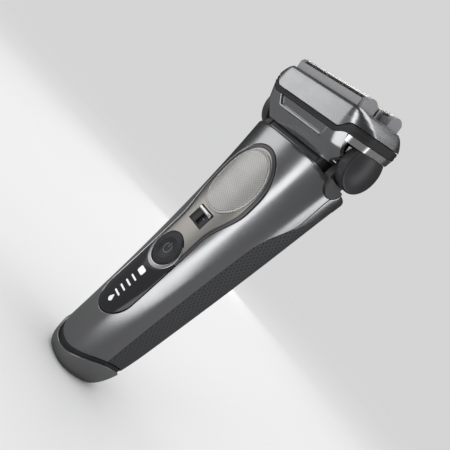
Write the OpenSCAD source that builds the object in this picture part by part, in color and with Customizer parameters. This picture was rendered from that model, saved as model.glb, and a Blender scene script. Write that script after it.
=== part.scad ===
// Electric foil shaver standing upright on its base. Front face towards -Y, head on top, millimetres.

/* [Handle] */
// Height of the casing's top edge above the base
handle_h = 128; // [124:1:132]
// Half width of the casing near the base
base_half_w = 15.5; // [15.3:0.1:16.5]
// Half width of the casing at the shoulders
shoulder_half_w = 27; // [26.6:0.1:27.6]
// Depth from the centre line to the front face, at the base
front_depth = 15.3; // [15:0.1:16]
// Depth from the centre line to the back face, above the middle
back_depth = 18.2; // [18:0.1:18.6]
// Wall of the front shell
wall = 2; // [1.6:0.1:2.2]

/* [Control panel] */
// Half width of the lower part of the panel
panel_half_w = 9.9; // [9.5:0.1:10]
// Half width of the panel's wide upper oval
oval_half_w = 14.8; // [14.4:0.1:15]
// Width of the border strip round the upper panel
border_w = 1.6; // [1.2:0.1:1.7]
// Radius of the power button
button_r = 7.7; // [7:0.1:7.7]
// Height of the power button's centre
button_z = 63; // [62:0.5:64]

/* [Head] */
// Height of the head's tilting axis
pivot_z = 139; // [138.5:0.5:140]
// Forward tilt of the head as stored, degrees
tilt = 19; // [0:1:20]
// Half width of the head at the seal
head_half_w = 30.6; // [30.4:0.1:30.8]
// Half depth of the head at the seal
head_half_d = 16.8; // [16.7:0.1:17]
// Distance of each foil's axis from the middle of the head
foil_y = 9; // [8.9:0.1:9.1]
// Outer radius of a foil's arch
foil_r = 4.65; // [4.5:0.05:4.7]

/* [Moving parts] */
// Diameter of the head's pivot pins
pivot_pin_d = 4; // [3.6:0.1:4.2]
// Diameter of the battery cell
cell_d = 14.2; // [13.8:0.1:14.2]
// Length of the battery cell
cell_l = 50; // [45:1:50]

/* [Hidden] */
eps = 0.01;
far = 80;                       // longer than any section of the part
ring_points = 44;               // points round a section of the handle
roundness = 2.5;                // exponent of the handle's oval section
grip_skin = 1.5;                // thickness of the rubber and of the shoulder covers
housing_skin = 1.5;             // thickness of the rear housing under them
seal_gap = 2.2;                 // height of the groove above the bottom cap
smile_z = 7.4;                  // lowest point of the casing's lower edge
smile_k = 0.03;                 // how fast that edge rises towards the sides
cap_proud = 0.6;                // the bottom cap stands out this far from the casing
pivot_y = -3;                   // the tilting axis lies a little in front of the centre line
pin_clear = 0.05;               // running clearance of the pivot pins
panel_split_z = 61;             // where the glossy display ends and the metal plate starts
lock_z = [77.7, 85.4];          // bottom and top of the lock switch's recess
lock_half_w = 5;
foil_axis_z = 19.2;             // the foils' axis, above the pivot
board_y = -9;                   // front face of the circuit board
arm_half_w = 5.3;               // half width of the yoke's arms

// ---------- shapes of the handle ----------

function round_in(z, reach, depth) = z >= reach ? 0 : depth * (1 - sqrt(1 - pow(1 - z / reach, 2)));
function top_in(z) = round_in(max(handle_h - z, 0), 2, 1.4);
function half_w(z) = base_half_w + (shoulder_half_w - base_half_w) * pow(z / handle_h, 1.4)
    - round_in(z, 14, 6.5) - top_in(z);
function bow(z) = sin(180 * z / handle_h);
function front_d(z) = front_depth + 0.8 * z / handle_h + 2.2 * pow(z / handle_h, 6) - 1.5 * bow(z)
    - round_in(z, 5, 3) - top_in(z);
function back_d(z) = back_depth + 1.4 * bow(z) - 5.9 * (1 - sin(min(90, 0.9 * z)))
    - round_in(z, 26, 10.8) - top_in(z);
function oval(a, size) = sign(cos(a)) * size * pow(abs(cos(a)), 2 / roundness);
function handle_ring(z, t) = [for (i = [0:ring_points - 1]) let(a = 360 * i / ring_points)
    [oval(a, half_w(z) - t), oval(a - 90, (a < 180 ? back_d(z) : front_d(z)) - t), z]];
function handle_stations() = concat(
    [for (k = [0:6]) 16 * (1 - cos(15 * k))],
    [for (k = [1:9]) 16 + (handle_h - 21) * k / 9],
    [for (k = [1:4]) handle_h - 5 + 5 * sin(22.5 * k)]);

// Solid through a list of rings with equal numbers of points, closed at both ends.
module skin(rings) {
    n = len(rings[0]);
    m = len(rings);
    polyhedron(
        points = [for (r = rings) each r],
        faces = concat(
            [[for (i = [0:n - 1]) i]],
            [for (k = [0:m - 2], i = [0:n - 1]) let(j = (i + 1) % n) each
                [[k * n + i, (k + 1) * n + i, (k + 1) * n + j], [k * n + i, (k + 1) * n + j, k * n + j]]],
            [[for (i = [n - 1:-1:0]) (m - 1) * n + i]]),
        convexity = 6);
}

// Tube wall through a list of rings that goes up the outside and comes down the inside.
module wall_skin(rings) {
    n = len(rings[0]);
    m = len(rings);
    polyhedron(
        points = [for (r = rings) each r],
        faces = [for (k = [0:m - 1], i = [0:n - 1]) let(j = (i + 1) % n, q = (k + 1) % m) each
            [[k * n + i, q * n + i, q * n + j], [k * n + i, q * n + j, k * n + j]]],
        convexity = 8);
}

// The handle's outer form, drawn in by t all round.
module handle_form(t) { skin([for (z = handle_stations()) handle_ring(z, t)]); }

// A layer of the handle's wall between two depths.
module handle_layer(outer, inner) {
    difference() {
        handle_form(outer);
        handle_form(inner);
    }
}

// Everything whose side view lies in an outline of (y, z) points.
module side_zone(outline) {
    rotate([90, 0, 90]) linear_extrude(height = far, center = true) polygon(outline);
}

// Everything in front of y = -5 whose front view lies in a child's (x, z) outline.
module front_zone() { translate([0, -5, 0]) rotate([90, 0, 0]) linear_extrude(height = far / 2) children(); }

// Everything above the casing's curved lower edge, moved up by lift.
module above_smile(lift) {
    rotate([90, 0, 0]) linear_extrude(height = far, center = true)
        polygon(concat(
            [for (x = [-30:3:30]) [x, smile_z + lift + smile_k * x * x]],
            [[30, 200], [-30, 200]]));
}

// Points of the side view where the front shell, the rubber and the shoulder covers meet.
seam_low = [-4, -1];
seam_bend = [-4, 88];
seam_rise = [-2.5, 96];
seam_fork = [1, 104];
seam_top = [0, 121];
rubber_peak = [9, 122];
back_edge = 40;
front_side = [[-back_edge, -1], seam_low, seam_bend, seam_rise, seam_fork, [2, 108], seam_top, [0, 140],
    [-back_edge, 140]];
rubber_side = [seam_low, [back_edge, -1], [back_edge, 122], rubber_peak, seam_fork, seam_rise, seam_bend];
cover_side = [seam_fork, rubber_peak, [back_edge, 122], [back_edge, 140], [0, 140], seam_top, [2, 108]];
rear_side = [seam_low, [back_edge, -1], [back_edge, 126], [3, 126], [3, 108], seam_fork, seam_rise,
    seam_bend];

// Gap in the shoulders for the yoke's arms.
module arm_notches(gap) {
    translate([0, pivot_y, handle_h]) rotate([0, 90, 0])
        cylinder(r = arm_half_w + gap, h = far, center = true, $fn = 40);
}

// Room for the long-hair trimmer in the back.
module trimmer_room(half_wide, half_narrow, low = 104) {
    translate([-half_wide, 11, low]) cube([2 * half_wide, 20, 40]);
    translate([-half_narrow, 11, low - 22]) cube([2 * half_narrow, 20, 30]);
}

// ---------- outlines of the control panel, as (x, z) ----------

function panel_w(z) = panel_half_w
    + (oval_half_w - panel_half_w) * (1 - cos(180 * min(max((z - 75) / 21, 0), 1))) / 2;
function arc_points(a, b, cz, from, to, steps) = [for (k = [0:steps]) let(t = from + (to - from) * k / steps)
    [a * cos(t), cz + b * sin(t)]];

// Bottle-shaped panel: round bottom, straight neck, wide oval on top.
module panel_outline(t) {
    polygon(concat(
        arc_points(panel_half_w - t, 11.5 - t, 38, -180, 0, 14),
        [for (z = [74:3:98]) [panel_w(z) - t, z]],
        arc_points(oval_half_w - t, 19 - t, 101.5, 0, 180, 18),
        [for (z = [98:-3:74]) [-panel_w(z) + t, z]]));
}

// Egg-shaped grip pad.
module pad_outline(t) {
    polygon([for (a = [0:9:351])
        [sign(cos(a)) * (12.6 + t) * pow(abs(cos(a)), 0.9), 102 + (15.7 + t) * sin(a)]]);
}

module button_hole(gap) { translate([0, button_z]) circle(r = button_r + gap, $fn = 48); }

// Circle a little larger and lower than the button: what it adds is a crescent.
module crescent_disc(gap) { translate([0, button_z - 1.1]) circle(r = button_r + 1.15 + gap, $fn = 48); }

module lock_hole(gap) {
    translate([-lock_half_w - gap, lock_z[0] - gap])
        square([2 * (lock_half_w + gap), lock_z[1] - lock_z[0] + 2 * gap]);
}

icon_face_y = -14.3;
bar_pitch = 3;
module icon_solids(gap) {
    for (k = [0:3]) translate([-2.2 - gap, icon_face_y, 35.4 + bar_pitch * k - gap])
        cube([4.4 + 2 * gap, 1.1, 0.8 + 2 * gap]);
    translate([-2.2 - gap, icon_face_y, 47.6 - gap]) cube([4.4 + 2 * gap, 1.1, 2.9 + 2 * gap]);
    translate([0, icon_face_y, 32.4]) rotate([-90, 0, 0]) cylinder(r = 1.4 + gap, h = 1.1, $fn = 24);
}

// ---------- casing ----------

module front_shell() {
    color([0.72, 0.72, 0.73]) resize([0, 0, 0]) difference() {
        intersection() {
            handle_layer(0, wall);
            side_zone(front_side);
            above_smile(0);
        }
        front_zone() panel_outline(0);
        arm_notches(0.15);
    }
}

module rear_grip() {
    color([0.16, 0.16, 0.17]) resize([0, 0, 0]) difference() {
        intersection() {
            handle_layer(0, grip_skin);
            side_zone(rubber_side);
            above_smile(0);
        }
        trimmer_room(16.3, 6.8);
    }
}

module rear_housing() {
    color([0.1, 0.1, 0.11]) resize([0, 0, 0]) difference() {
        intersection() {
            handle_layer(grip_skin, grip_skin + housing_skin);
            side_zone(rear_side);
            above_smile(0.5);
        }
        trimmer_room(16.9, 8.3, 102.8);
        arm_notches(0.3);
        screw_places() {
            translate([0, 0, -5]) cylinder(r = screw_r + 0.15, h = 10, $fn = 32);
            translate([0, 0, -0.6]) cylinder(r = screw_head_r + 0.15, h = 5, $fn = 32);
        }
    }
}

module shoulder_covers() {
    color([0.7, 0.7, 0.71]) resize([0, 0, 0]) difference() {
        intersection() {
            handle_layer(0, grip_skin);
            side_zone(cover_side);
        }
        trimmer_room(16.3, 6.8);
        arm_notches(0.15);
    }
}

module socket_outline(gap) {
    for (side = [-1, 1]) translate([3.6 * side, 0]) circle(r = 4.2 + gap, $fn = 40);
    square([7.2, 8.4 + 2 * gap], center = true);
}
socket_y = -5.4;

module bottom_cap() {
    color([0.74, 0.74, 0.75]) resize([0, 0, 0]) difference() {
        handle_form(-cap_proud);
        above_smile(-seal_gap);
        translate([0, 0, 2.4]) scale([1, 1, 1.05]) handle_form(2.4);
        translate([0, socket_y, -1]) linear_extrude(height = 12) socket_outline(0.05);
    }
}

module bottom_seal() {
    color([0.12, 0.12, 0.12]) resize([0, 0, 0]) difference() {
        intersection() {
            handle_layer(0.5, 2.2);
            above_smile(-seal_gap);
        }
        above_smile(0);
    }
}

// ---------- control panel ----------

module panel_border() {
    color([0.3, 0.3, 0.31]) resize([0, 0, 0]) intersection() {
        handle_layer(0, 1.6);
        front_zone() difference() {
            panel_outline(0.08);
            panel_outline(border_w);
            crescent_disc(0.05);
            translate([-30, 0]) square([60, panel_split_z + 0.1]);
        }
    }
}

module panel_plate() {
    color([0.66, 0.62, 0.57]) resize([0, 0, 0]) intersection() {
        handle_layer(0.2, 1.3);
        front_zone() difference() {
            panel_outline(border_w + 0.05);
            translate([-30, 0]) square([60, panel_split_z + 0.1]);
            crescent_disc(0.05);
            button_hole(0.15);
            pad_outline(0.1);
            lock_hole(0.1);
        }
    }
}

module grip_pad() {
    color([0.8, 0.78, 0.75]) resize([0, 0, 0]) intersection() {
        handle_layer(-0.2, 1.4);
        front_zone() intersection() {
            pad_outline(0);
            panel_outline(border_w + 0.1);
        }
    }
}

module display_window() {
    color([0.05, 0.05, 0.055]) resize([0, 0, 0]) difference() {
        intersection() {
            handle_layer(0.1, 1.4);
            front_zone() difference() {
                panel_outline(0.15);
                translate([-30, panel_split_z]) square([60, 80]);
                crescent_disc(0.05);
            }
        }
        icon_solids(0.03);
    }
}

module display_icons() { color([0.9, 0.9, 0.88]) icon_solids(0); }

module power_button_ring() {
    color([0.85, 0.85, 0.85]) resize([0, 0, 0]) intersection() {
        handle_layer(0, 1.5);
        front_zone() difference() {
            crescent_disc(0);
            button_hole(0.15);
            translate([-30, button_z + 5]) square([60, 20]);
        }
    }
}

button_face_y = -14.15;
module power_button() {
    color([0.07, 0.07, 0.075]) translate([0, button_face_y, button_z]) rotate([-90, 0, 0]) difference() {
        union() {
            cylinder(r = button_r, h = 2.2, $fn = 64);
            cylinder(r = 2, h = 2.3, $fn = 32);
        }
        translate([0, 0, -38.7]) sphere(r = 39, $fn = 96);
    }
}

lock_face_y = -13.4;
module lock_window() {
    color([0.09, 0.09, 0.1]) difference() {
        translate([-lock_half_w, lock_face_y, lock_z[0]]) cube([2 * lock_half_w, 1, lock_z[1] - lock_z[0]]);
        translate([-1.5, lock_face_y - 1, 78.4]) cube([3, 4, 6.8]);
    }
}

module lock_slider() {
    color([0.8, 0.8, 0.8]) {
        translate([-4.9, lock_face_y - 1.9, 83.3]) cube([9.8, 1.7, 1.9]);
        translate([-1.3, lock_face_y - 0.3, 83.6]) cube([2.6, 1.6, 1.3]);
        translate([-3, lock_face_y + 1.2, 78.1]) cube([6, 0.8, 12]);
    }
}

// ---------- inside the handle ----------

chassis_half_w = 12.4;
module cable_slot() { translate([-3.4, pivot_y - 0.5, 111]) cube([6.8, 1, 40]); }
module inner_chassis() {
    color([0.2, 0.2, 0.21]) difference() {
        union() {
            translate([-chassis_half_w, -7.6, 17]) cube([2 * chassis_half_w, 1.6, 98]);
            for (side = [-1, 1]) translate([side * 11.7 - 0.7, -6, 17]) cube([1.4, 9, 98]);
            translate([-chassis_half_w, -6, 73]) cube([2 * chassis_half_w, 9, 1.6]);
            translate([-chassis_half_w, -6, 16]) cube([2 * chassis_half_w, 9, 1.6]);
            translate([-chassis_half_w, -6, 113.4]) cube([2 * chassis_half_w, 9, 1.6]);
            screw_bosses();
        }
        for (z = [84, 104]) translate([0, 0, z]) rotate([90, 0, 0])
            cylinder(r = 3, h = far, center = true, $fn = 32);
        cable_slot();
    }
}

module circuit_board() {
    color([0.08, 0.3, 0.16]) difference() {
        translate([-11, board_y, 22]) cube([22, 1.2, 90]);
        for (x = [-8.5, 8.5], z = [25, 109]) translate([x, board_y, z]) rotate([90, 0, 0])
            cylinder(r = 1, h = 6, center = true, $fn = 24);
    }
}

// Push switch under the power button, light sources, controller, coil and connector.
module board_components() {
    color([0.1, 0.1, 0.1]) {
        translate([-3, board_y - 2, button_z - 3]) cube([6, 2, 6]);
        translate([0, board_y, button_z]) rotate([90, 0, 0]) cylinder(r = 1.2, h = 2.2, $fn = 24);
        for (k = [0:5]) translate([-1.5, board_y - 1.2, 31.5 + bar_pitch * k]) cube([3, 1.2, 1.6]);
        translate([-4, board_y - 1.4, 92]) cube([8, 1.4, 8]);
        translate([5, board_y - 2.4, 78]) cube([4, 2.4, 4]);
        translate([-4.5, board_y - 2, 105]) cube([9, 2, 4]);
        translate([-9, board_y - 1, 84]) cube([3, 1, 5]);
    }
}

cell_y = 2.6;
cell_z = 20.5;
module battery() {
    color([0.15, 0.35, 0.6]) translate([0, cell_y, cell_z]) {
        cylinder(d = cell_d, h = cell_l, $fn = 64);
        cylinder(d = 5, h = cell_l + 0.9, $fn = 32);
    }
}

module battery_contacts() {
    color([0.75, 0.72, 0.6]) {
        translate([-2.5, -5.4, cell_z + cell_l + 1]) cube([5, 10.5, 0.4]);
        translate([-2.5, -5.4, cell_z - 0.6]) cube([5, 10.5, 0.4]);
    }
}

module charging_socket() {
    color([0.06, 0.06, 0.06]) translate([0, socket_y, 0.4]) difference() {
        linear_extrude(height = 11) socket_outline(0);
        translate([0, 0, -1]) linear_extrude(height = 10.2) {
            for (side = [-1, 1]) translate([3.6 * side, 0]) circle(r = 3.1, $fn = 40);
            square([7.2, 6.2], center = true);
        }
    }
}

socket_pin_x = 3.2;
module socket_pins() {
    color([0.85, 0.75, 0.45]) for (side = [-1, 1]) translate([side * socket_pin_x, socket_y, 2])
        cylinder(r = 0.9, h = 7.6, $fn = 32);
}

// Four screws from behind; each place's +Z points backwards and starts just inside the housing's outer face.
screw_x = 6;
screw_r = 1;
screw_head_r = 1.7;
function back_y(x, z) = back_d(z) * pow(1 - pow(x / half_w(z), roundness), 1 / roundness);
module screw_places() {
    for (side = [-1, 1], z = [17.5, 78])
        translate([screw_x * side, back_y(screw_x + screw_head_r, z) - grip_skin - 0.3, z])
            rotate([-90, 0, 0]) children();
}
module screw_bosses() {
    intersection() {
        screw_places() translate([0, 0, -30]) difference() {
            cylinder(r = 2.2, h = 28, $fn = 40);
            translate([0, 0, 22]) cylinder(r = screw_r + 0.02, h = 10, $fn = 32);
        }
        translate([-20, -7, 0]) cube([40, 40, 100]);
    }
}

module housing_screws() {
    color([0.6, 0.6, 0.6]) screw_places() {
        translate([0, 0, -7]) cylinder(r = screw_r, h = 6.6, $fn = 32);
        translate([0, 0, -0.55]) cylinder(r = screw_head_r, h = 0.5, $fn = 32);
    }
}

// ---------- neck and yoke ----------

yoke_in = 21.5;                 // inner face of the arms
yoke_out = 24.8;                // outer face of the arms inside the head
module swing_yoke() {
    color([0.13, 0.13, 0.14]) difference() {
        union() {
            translate([-yoke_in, pivot_y - 5, 118.6]) cube([2 * yoke_in, 10, 3.4]);
            for (side = [-1, 1]) {
                translate([side * 21.2 - 0.8, pivot_y - 4.3, 118.6]) cube([1.6, 8.6, handle_h - 118.6]);
                translate([side * (yoke_in + yoke_out) / 2 - 1.65, pivot_y - arm_half_w, handle_h])
                    cube([yoke_out - yoke_in, 2 * arm_half_w, pivot_z - handle_h]);
                translate([side * yoke_in, pivot_y, pivot_z]) rotate([0, 90 * side, 0])
                    cylinder(r = 6.2, h = yoke_out - yoke_in, $fn = 64);
                intersection() {
                    translate([side * 20.6, pivot_y, handle_h]) rotate([0, 90 * side, 0])
                        cylinder(r = arm_half_w, h = 6.1, $fn = 64);
                    translate([-far / 2, -far / 2, 100]) cube([far, far, handle_h - 99.6]);
                }
            }
        }
        translate([0, pivot_y, pivot_z]) rotate([0, 90, 0])
            cylinder(d = pivot_pin_d, h = far, center = true, $fn = 64);
        for (x = [-8, 8]) translate([x, pivot_y, 110]) cylinder(r = 1.5, h = 20, $fn = 24);
        cable_slot();
    }
}

// Ridge under the head's hinge line: high in the middle, falling away in front and behind as
// steeply as the head tilts. It is hollow; t is how far inside its surface the form lies.
module neck_ridge(t) {
    foot_z = t == 0 ? 126 : 121;
    translate([0, pivot_y, 0]) skin([
        rounded_ring(foot_z, 19.2 - t, 8.4 - t, 3 - t / 2),
        rounded_ring(132 - t, 19.2 - t, 8.4 - t, 3 - t / 2),
        rounded_ring(132.7 - t, 19 - t, 7.2 - 0.7 * t, 2.8 - t / 2),
        rounded_ring(133.6 - t, 18.7 - t, 4.8 - 0.5 * t, 2.4 - t / 2),
        rounded_ring(134.5 - t, 18.3 - t, 2.6 - 0.4 * t, 1.6 - t / 2),
        rounded_ring(135 - t, 17.9 - t, 1.3 - 0.1 * t, 0.9 - t / 4)]);
}

module neck_cover() {
    color([0.17, 0.17, 0.18]) resize([0, 0, 0]) difference() {
        union() {
            intersection() {
                handle_form(2.05);
                translate([-far / 2, -far + 2.8, 122.4]) cube([far, far, 4]);
            }
            intersection() {
                handle_form(3.05);
                translate([-far / 2, 0, 122.4]) cube([far, far, 4]);
            }
            skin([for (k = [0:5]) let(t = 1 - cos(18 * k))
                rounded_ring(126 + 3.8 * sin(18 * k), 19.4 - 3 * t, 12.6 - 3 * t, 5.5)]);
            neck_ridge(0);
        }
        neck_ridge(1.4);
        for (side = [-1, 1]) translate([side * 40, pivot_y, handle_h]) cube([39.4, 2 * arm_half_w + 0.8, 30],
            center = true);
        translate([-17.9, 11.4, 100]) cube([35.8, 20, 40]);
        cable_slot();
    }
}

module pivot_pins() {
    color([0.7, 0.7, 0.7]) for (side = [-1, 1]) translate([side * 21.6, pivot_y, pivot_z])
        rotate([0, 90 * side, 0]) cylinder(d = pivot_pin_d, h = 5.9, $fn = 64);
}

module flex_cable() { color([0.06, 0.06, 0.06]) translate([-3, pivot_y - 0.15, 112]) cube([6, 0.3, 23.3]); }

// ---------- long-hair trimmer on the back ----------

module trimmer_guide() {
    color([0.1, 0.1, 0.1]) {
        translate([-8, 11.6, 80.5]) cube([16, 1.3, 24]);
        translate([-16.6, 11.6, 103]) cube([33.2, 1.3, 19.2]);
        for (side = [-1, 1]) translate([side * 4 - 0.6, 12.9, 84]) cube([1.2, 0.9, 38]);
    }
}

module trimmer_cover() {
    color([0.1, 0.1, 0.11]) resize([0, 0, 0]) union() {
        intersection() {
            handle_form(0.15);
            translate([-15.9, 15.7, 104.5]) cube([31.8, 8, 17]);
        }
        intersection() {
            handle_form(0.15);
            union() {
                translate([-15.9, 14.1, 104.5]) cube([31.8, 8, 8]);
                translate([-6.2, 14.1, 84]) cube([12.4, 8, 21]);
            }
        }
        for (k = [0:4]) translate([-5, 16, 86 + 2.4 * k]) cube([10, 2.7, 1.2]);
    }
}

// Comb of teeth standing on a plate; x0 is the first tooth's left edge.
module toothed_plate(x0, count, pitch, tooth, plate_z, plate_h, tooth_h, y, thick) {
    translate([x0, y, plate_z]) cube([(count - 1) * pitch + tooth, thick, plate_h]);
    for (k = [0:count - 1]) translate([x0 + k * pitch, y, plate_z + plate_h - eps])
        cube([tooth, thick, tooth_h]);
}

module trimmer_comb() { color([0.8, 0.8, 0.8]) toothed_plate(-15, 26, 1.18, 0.5, 113, 8.6, 4.2, 14.7, 0.45); }

module trimmer_blade() { color([0.7, 0.7, 0.7]) toothed_plate(-14, 18, 1.62, 0.5, 113.5, 8, 3.6, 15.2, 0.4); }

// ---------- shapes of the head: local frame with the pivot at the origin ----------

module place_head() { translate([0, pivot_y, pivot_z]) rotate([tilt, 0, 0]) children(); }

corner_steps = 7;
function rounded_ring(z, a, b, r) = [for (q = [0:3], k = [0:corner_steps])
    let(t = 90 * q + 90 * k / corner_steps, sx = (q == 0 || q == 3) ? 1 : -1, sy = q < 2 ? 1 : -1)
    [sx * (a - r) + r * cos(t), sy * (b - r) + r * sin(t), z]];
function ease(t) = let(u = min(max(t, 0), 1)) u * u * (3 - 2 * u);
// The seal runs level along the front and back, then climbs and widens at the ends.
low_lift = 2.2;
high_lift = 3.8;
function lifted(ring, lift) = [for (p = ring) [p[0], p[1], p[2] + lift * ease((abs(p[0]) - 19.5) / 5.5)]];

seal_low = 6.5;
seal_high = 8.5;
skirt_z = -4.2;                 // lower edge of the head's front and back walls
function lower_wall(t) = [
    rounded_ring(skirt_z, head_half_w - 6.2 - t, head_half_d - 4.2 - t, 8.4 - t),
    rounded_ring(-1, head_half_w - 4 - t, head_half_d - 3 - t, 9 - t),
    rounded_ring(2.5, head_half_w - 1.9 - t, head_half_d - 1.3 - t, 10 - t),
    lifted(rounded_ring(seal_low - 0.1, head_half_w - 0.2 - t, head_half_d - 0.2 - t, 11 - t), low_lift)];
function upper_wall(t, gap) = [
    lifted(rounded_ring(seal_high + gap, head_half_w - t, head_half_d - t, 11 - t), high_lift),
    rounded_ring(13.8 - 0.2 * t, head_half_w - 1.6 - t, head_half_d - 0.4 - t, 9 - t),
    rounded_ring(16.2 - 0.4 * t, head_half_w - 3.6 - 1.4 * t, head_half_d - 0.8 - t, 7 - t)];
function backwards(list) = [for (i = [len(list) - 1:-1:0]) list[i]];

// ---------- swinging head ----------

frame_half_w = 24.6;
skirt_half_w = 20.9;
module head_frame() {
    color([0.7, 0.7, 0.71]) place_head() resize([0, 0, 0]) difference() {
        union() {
            intersection() {
                wall_skin(concat(lower_wall(0), backwards(lower_wall(1.5))));
                cube([2 * frame_half_w, far, far], center = true);
            }
            translate([-19.4, -12.4, -2.6]) cube([38.8, 24.8, 1.6]);
        }
        // shallow trays in the front and back walls
        for (turn = [0, 180]) rotate([0, 0, turn]) translate([0, 0.9 - head_half_d, 0]) rotate([90, 0, 0])
            linear_extrude(height = 4) polygon([[-16.8, 9], [-14, 3], [14, 3], [16.8, 9]]);
        // room for the yoke's arms beside the lower part of the walls
        for (side = [-1, 1]) translate([side * (skirt_half_w + far / 2), 0, -far / 2 - 1])
            cube([far, 2 * far, far], center = true);
        translate([-3.4, -0.6, -5]) cube([6.8, 1.2, 10]);
    }
}

module head_seal() {
    color([0.2, 0.2, 0.21]) place_head() wall_skin([
        lifted(rounded_ring(seal_low, head_half_w - 0.4, head_half_d - 0.4, 10.6), low_lift),
        lifted(rounded_ring(seal_high, head_half_w - 0.3, head_half_d - 0.3, 10.6), high_lift),
        lifted(rounded_ring(seal_high, head_half_w - 1.8, head_half_d - 1.8, 9.2), high_lift),
        lifted(rounded_ring(seal_low, head_half_w - 1.8, head_half_d - 1.8, 9.2), low_lift)]);
}

ear_top = 5.8;                  // the round ears are cut off level under the chrome trims
ear_x = 25.2;
module side_housing() {
    color([0.15, 0.15, 0.16]) place_head() difference() {
        union() {
            intersection() {
                translate([ear_x, 0, 0]) rotate([0, 90, 0]) cylinder(r = 10, h = 2.9, $fn = 72);
                translate([0, -20, -20]) cube([40, 40, 20 + ear_top]);
            }
            translate([ear_x, -6, 0]) cube([1.6, 12, 8.2]);
        }
        rotate([0, 90, 0]) cylinder(r = pivot_pin_d / 2 + pin_clear, h = far, $fn = 64);
    }
}
module side_housing_right() { side_housing(); }
module side_housing_left() { mirror([1, 0, 0]) side_housing(); }

module side_trims() {
    color([0.85, 0.85, 0.85]) place_head() resize([0, 0, 0]) difference() {
        wall_skin(concat(lower_wall(0.1), backwards(lower_wall(1.3))));
        cube([2 * frame_half_w + 0.3, far, far], center = true);
        translate([-far / 2, -far / 2, ear_top + 0.1 - far]) cube([far, far, far]);
    }
}

module drive_deck() {
    color([0.1, 0.1, 0.1]) place_head() difference() {
        translate([-20.5, -13.2, 5.4]) cube([41, 26.4, 1]);
        for (side = [-1, 1]) translate([0, side * foil_y, 0]) cylinder(r = 2.8, h = 20, $fn = 32);
    }
}

module motor_core() {
    color([0.45, 0.45, 0.47]) place_head() difference() {
        translate([-10, -5.2, -0.9]) cube([20, 10.4, 6]);
        for (side = [-1, 1]) translate([side * 5 - 1.5, -6, -0.1]) cube([3, 12, 4.4]);
    }
}

module motor_coil() {
    color([0.72, 0.4, 0.2]) place_head() for (side = [-1, 1])
        translate([side * 5 - 1.4, -5.1, 0]) cube([2.8, 10.2, 4.2]);
}

module motor_springs() {
    color([0.75, 0.75, 0.75]) place_head() for (side = [-1, 1], half = [-1, 1])
        translate([side * 15.4 - 0.15, half * 6 - 5, -0.9]) cube([0.3, 10, 5.6]);
}

module pin_boots() {
    color([0.08, 0.08, 0.08]) place_head() for (side = [-1, 1]) translate([0, side * foil_y, 6.4])
        difference() {
            cylinder(r = 3.6, h = 2.2, $fn = 40);
            translate([0, 0, -1]) cylinder(r = 2.5, h = 5, $fn = 40);
        }
}

dome_x = 29.4;
dome_r = 9.6;
module release_button() {
    color([0.14, 0.14, 0.15]) place_head() intersection() {
        translate([dome_x, 0, 0]) rotate([0, 90, 0]) rotate_extrude($fn = 96) union() {
            intersection() {
                translate([0, -22.6]) circle(r = 24.6, $fn = 180);
                square([dome_r, 4]);
            }
            square([2.2, 0.5]);
        }
        translate([0, -20, -20]) cube([40, 40, 20 + ear_top - 0.1]);
    }
}
module release_button_right() { release_button(); }
module release_button_left() { mirror([1, 0, 0]) release_button(); }

// ---------- linear motor's movers ----------

module mover(side) {
    color([0.55, 0.55, 0.57]) place_head() {
        translate([-13, side * foil_y - 2.8, -0.6]) cube([26, 5.6, 5.2]);
        translate([0, side * foil_y, 4.5]) cylinder(r = 1.5, h = 10, $fn = 32);
    }
}
module mover_front() { mover(-1); }
module mover_rear() { mover(1); }

// ---------- shaving cassette ----------

module cassette_shell() {
    color([0.75, 0.75, 0.76]) place_head() wall_skin(concat(
        upper_wall(0, 0.3),
        [rounded_ring(17.6, head_half_w - 5.6, head_half_d - 1.3, 5),
         rounded_ring(18.6, head_half_w - 7.8, head_half_d - 1.9, 3.2),
         rounded_ring(18.45, head_half_w - 8.5, head_half_d - 2.6, 2.4),
         rounded_ring(17, head_half_w - 8.5, head_half_d - 2.6, 2.4)],
        backwards(upper_wall(1.4, 0.3))));
}

chassis_z = 9.9;
module cassette_chassis() {
    color([0.12, 0.12, 0.12]) place_head() difference() {
        union() {
            translate([-22.6, -13.5, chassis_z]) cube([45.2, 27, 1.3]);
            translate([-26.8, -7, chassis_z]) cube([53.6, 14, 1.3]);
            for (side = [-1, 1]) translate([side * 22.6 - 0.7, -9, chassis_z + 1]) cube([1.4, 18, 4.4]);
        }
        for (side = [-1, 1]) translate([-18.4, side * foil_y - 3.5, 0]) cube([36.8, 7, 30]);
        translate([-17.6, -3.4, 0]) cube([35.2, 6.8, 30]);
    }
}

spring_r = 0.75;
spring_x = 20.2;
module float_springs() {
    color([0.7, 0.7, 0.7]) place_head() for (side = [-1, 1], end = [-1, 1])
        translate([end * spring_x, side * foil_y, chassis_z + 1.35]) difference() {
            cylinder(r = spring_r, h = 2.1, $fn = 24);
            translate([0, 0, -1]) cylinder(r = spring_r - 0.3, h = 5, $fn = 24);
        }
}

foil_half_l = 19;
carrier_half_l = 21.4;
carrier_top = 21.8;
foil_sheet = 0.15;
module foil_pair_place(side) { place_head() translate([0, side * foil_y, 0]) children(); }

module foil(side) {
    color([0.8, 0.78, 0.72]) foil_pair_place(side) intersection() {
        translate([-foil_half_l, 0, foil_axis_z]) rotate([0, 90, 0]) difference() {
            cylinder(r = foil_r, h = 2 * foil_half_l, $fn = 96);
            translate([0, 0, -1]) cylinder(r = foil_r - foil_sheet, h = 2 * foil_half_l + 2, $fn = 96);
        }
        translate([-30, -6, foil_axis_z + 2.2]) cube([60, 12, 6]);
    }
}
module foil_front() { foil(-1); }
module foil_rear() { foil(1); }

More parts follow.
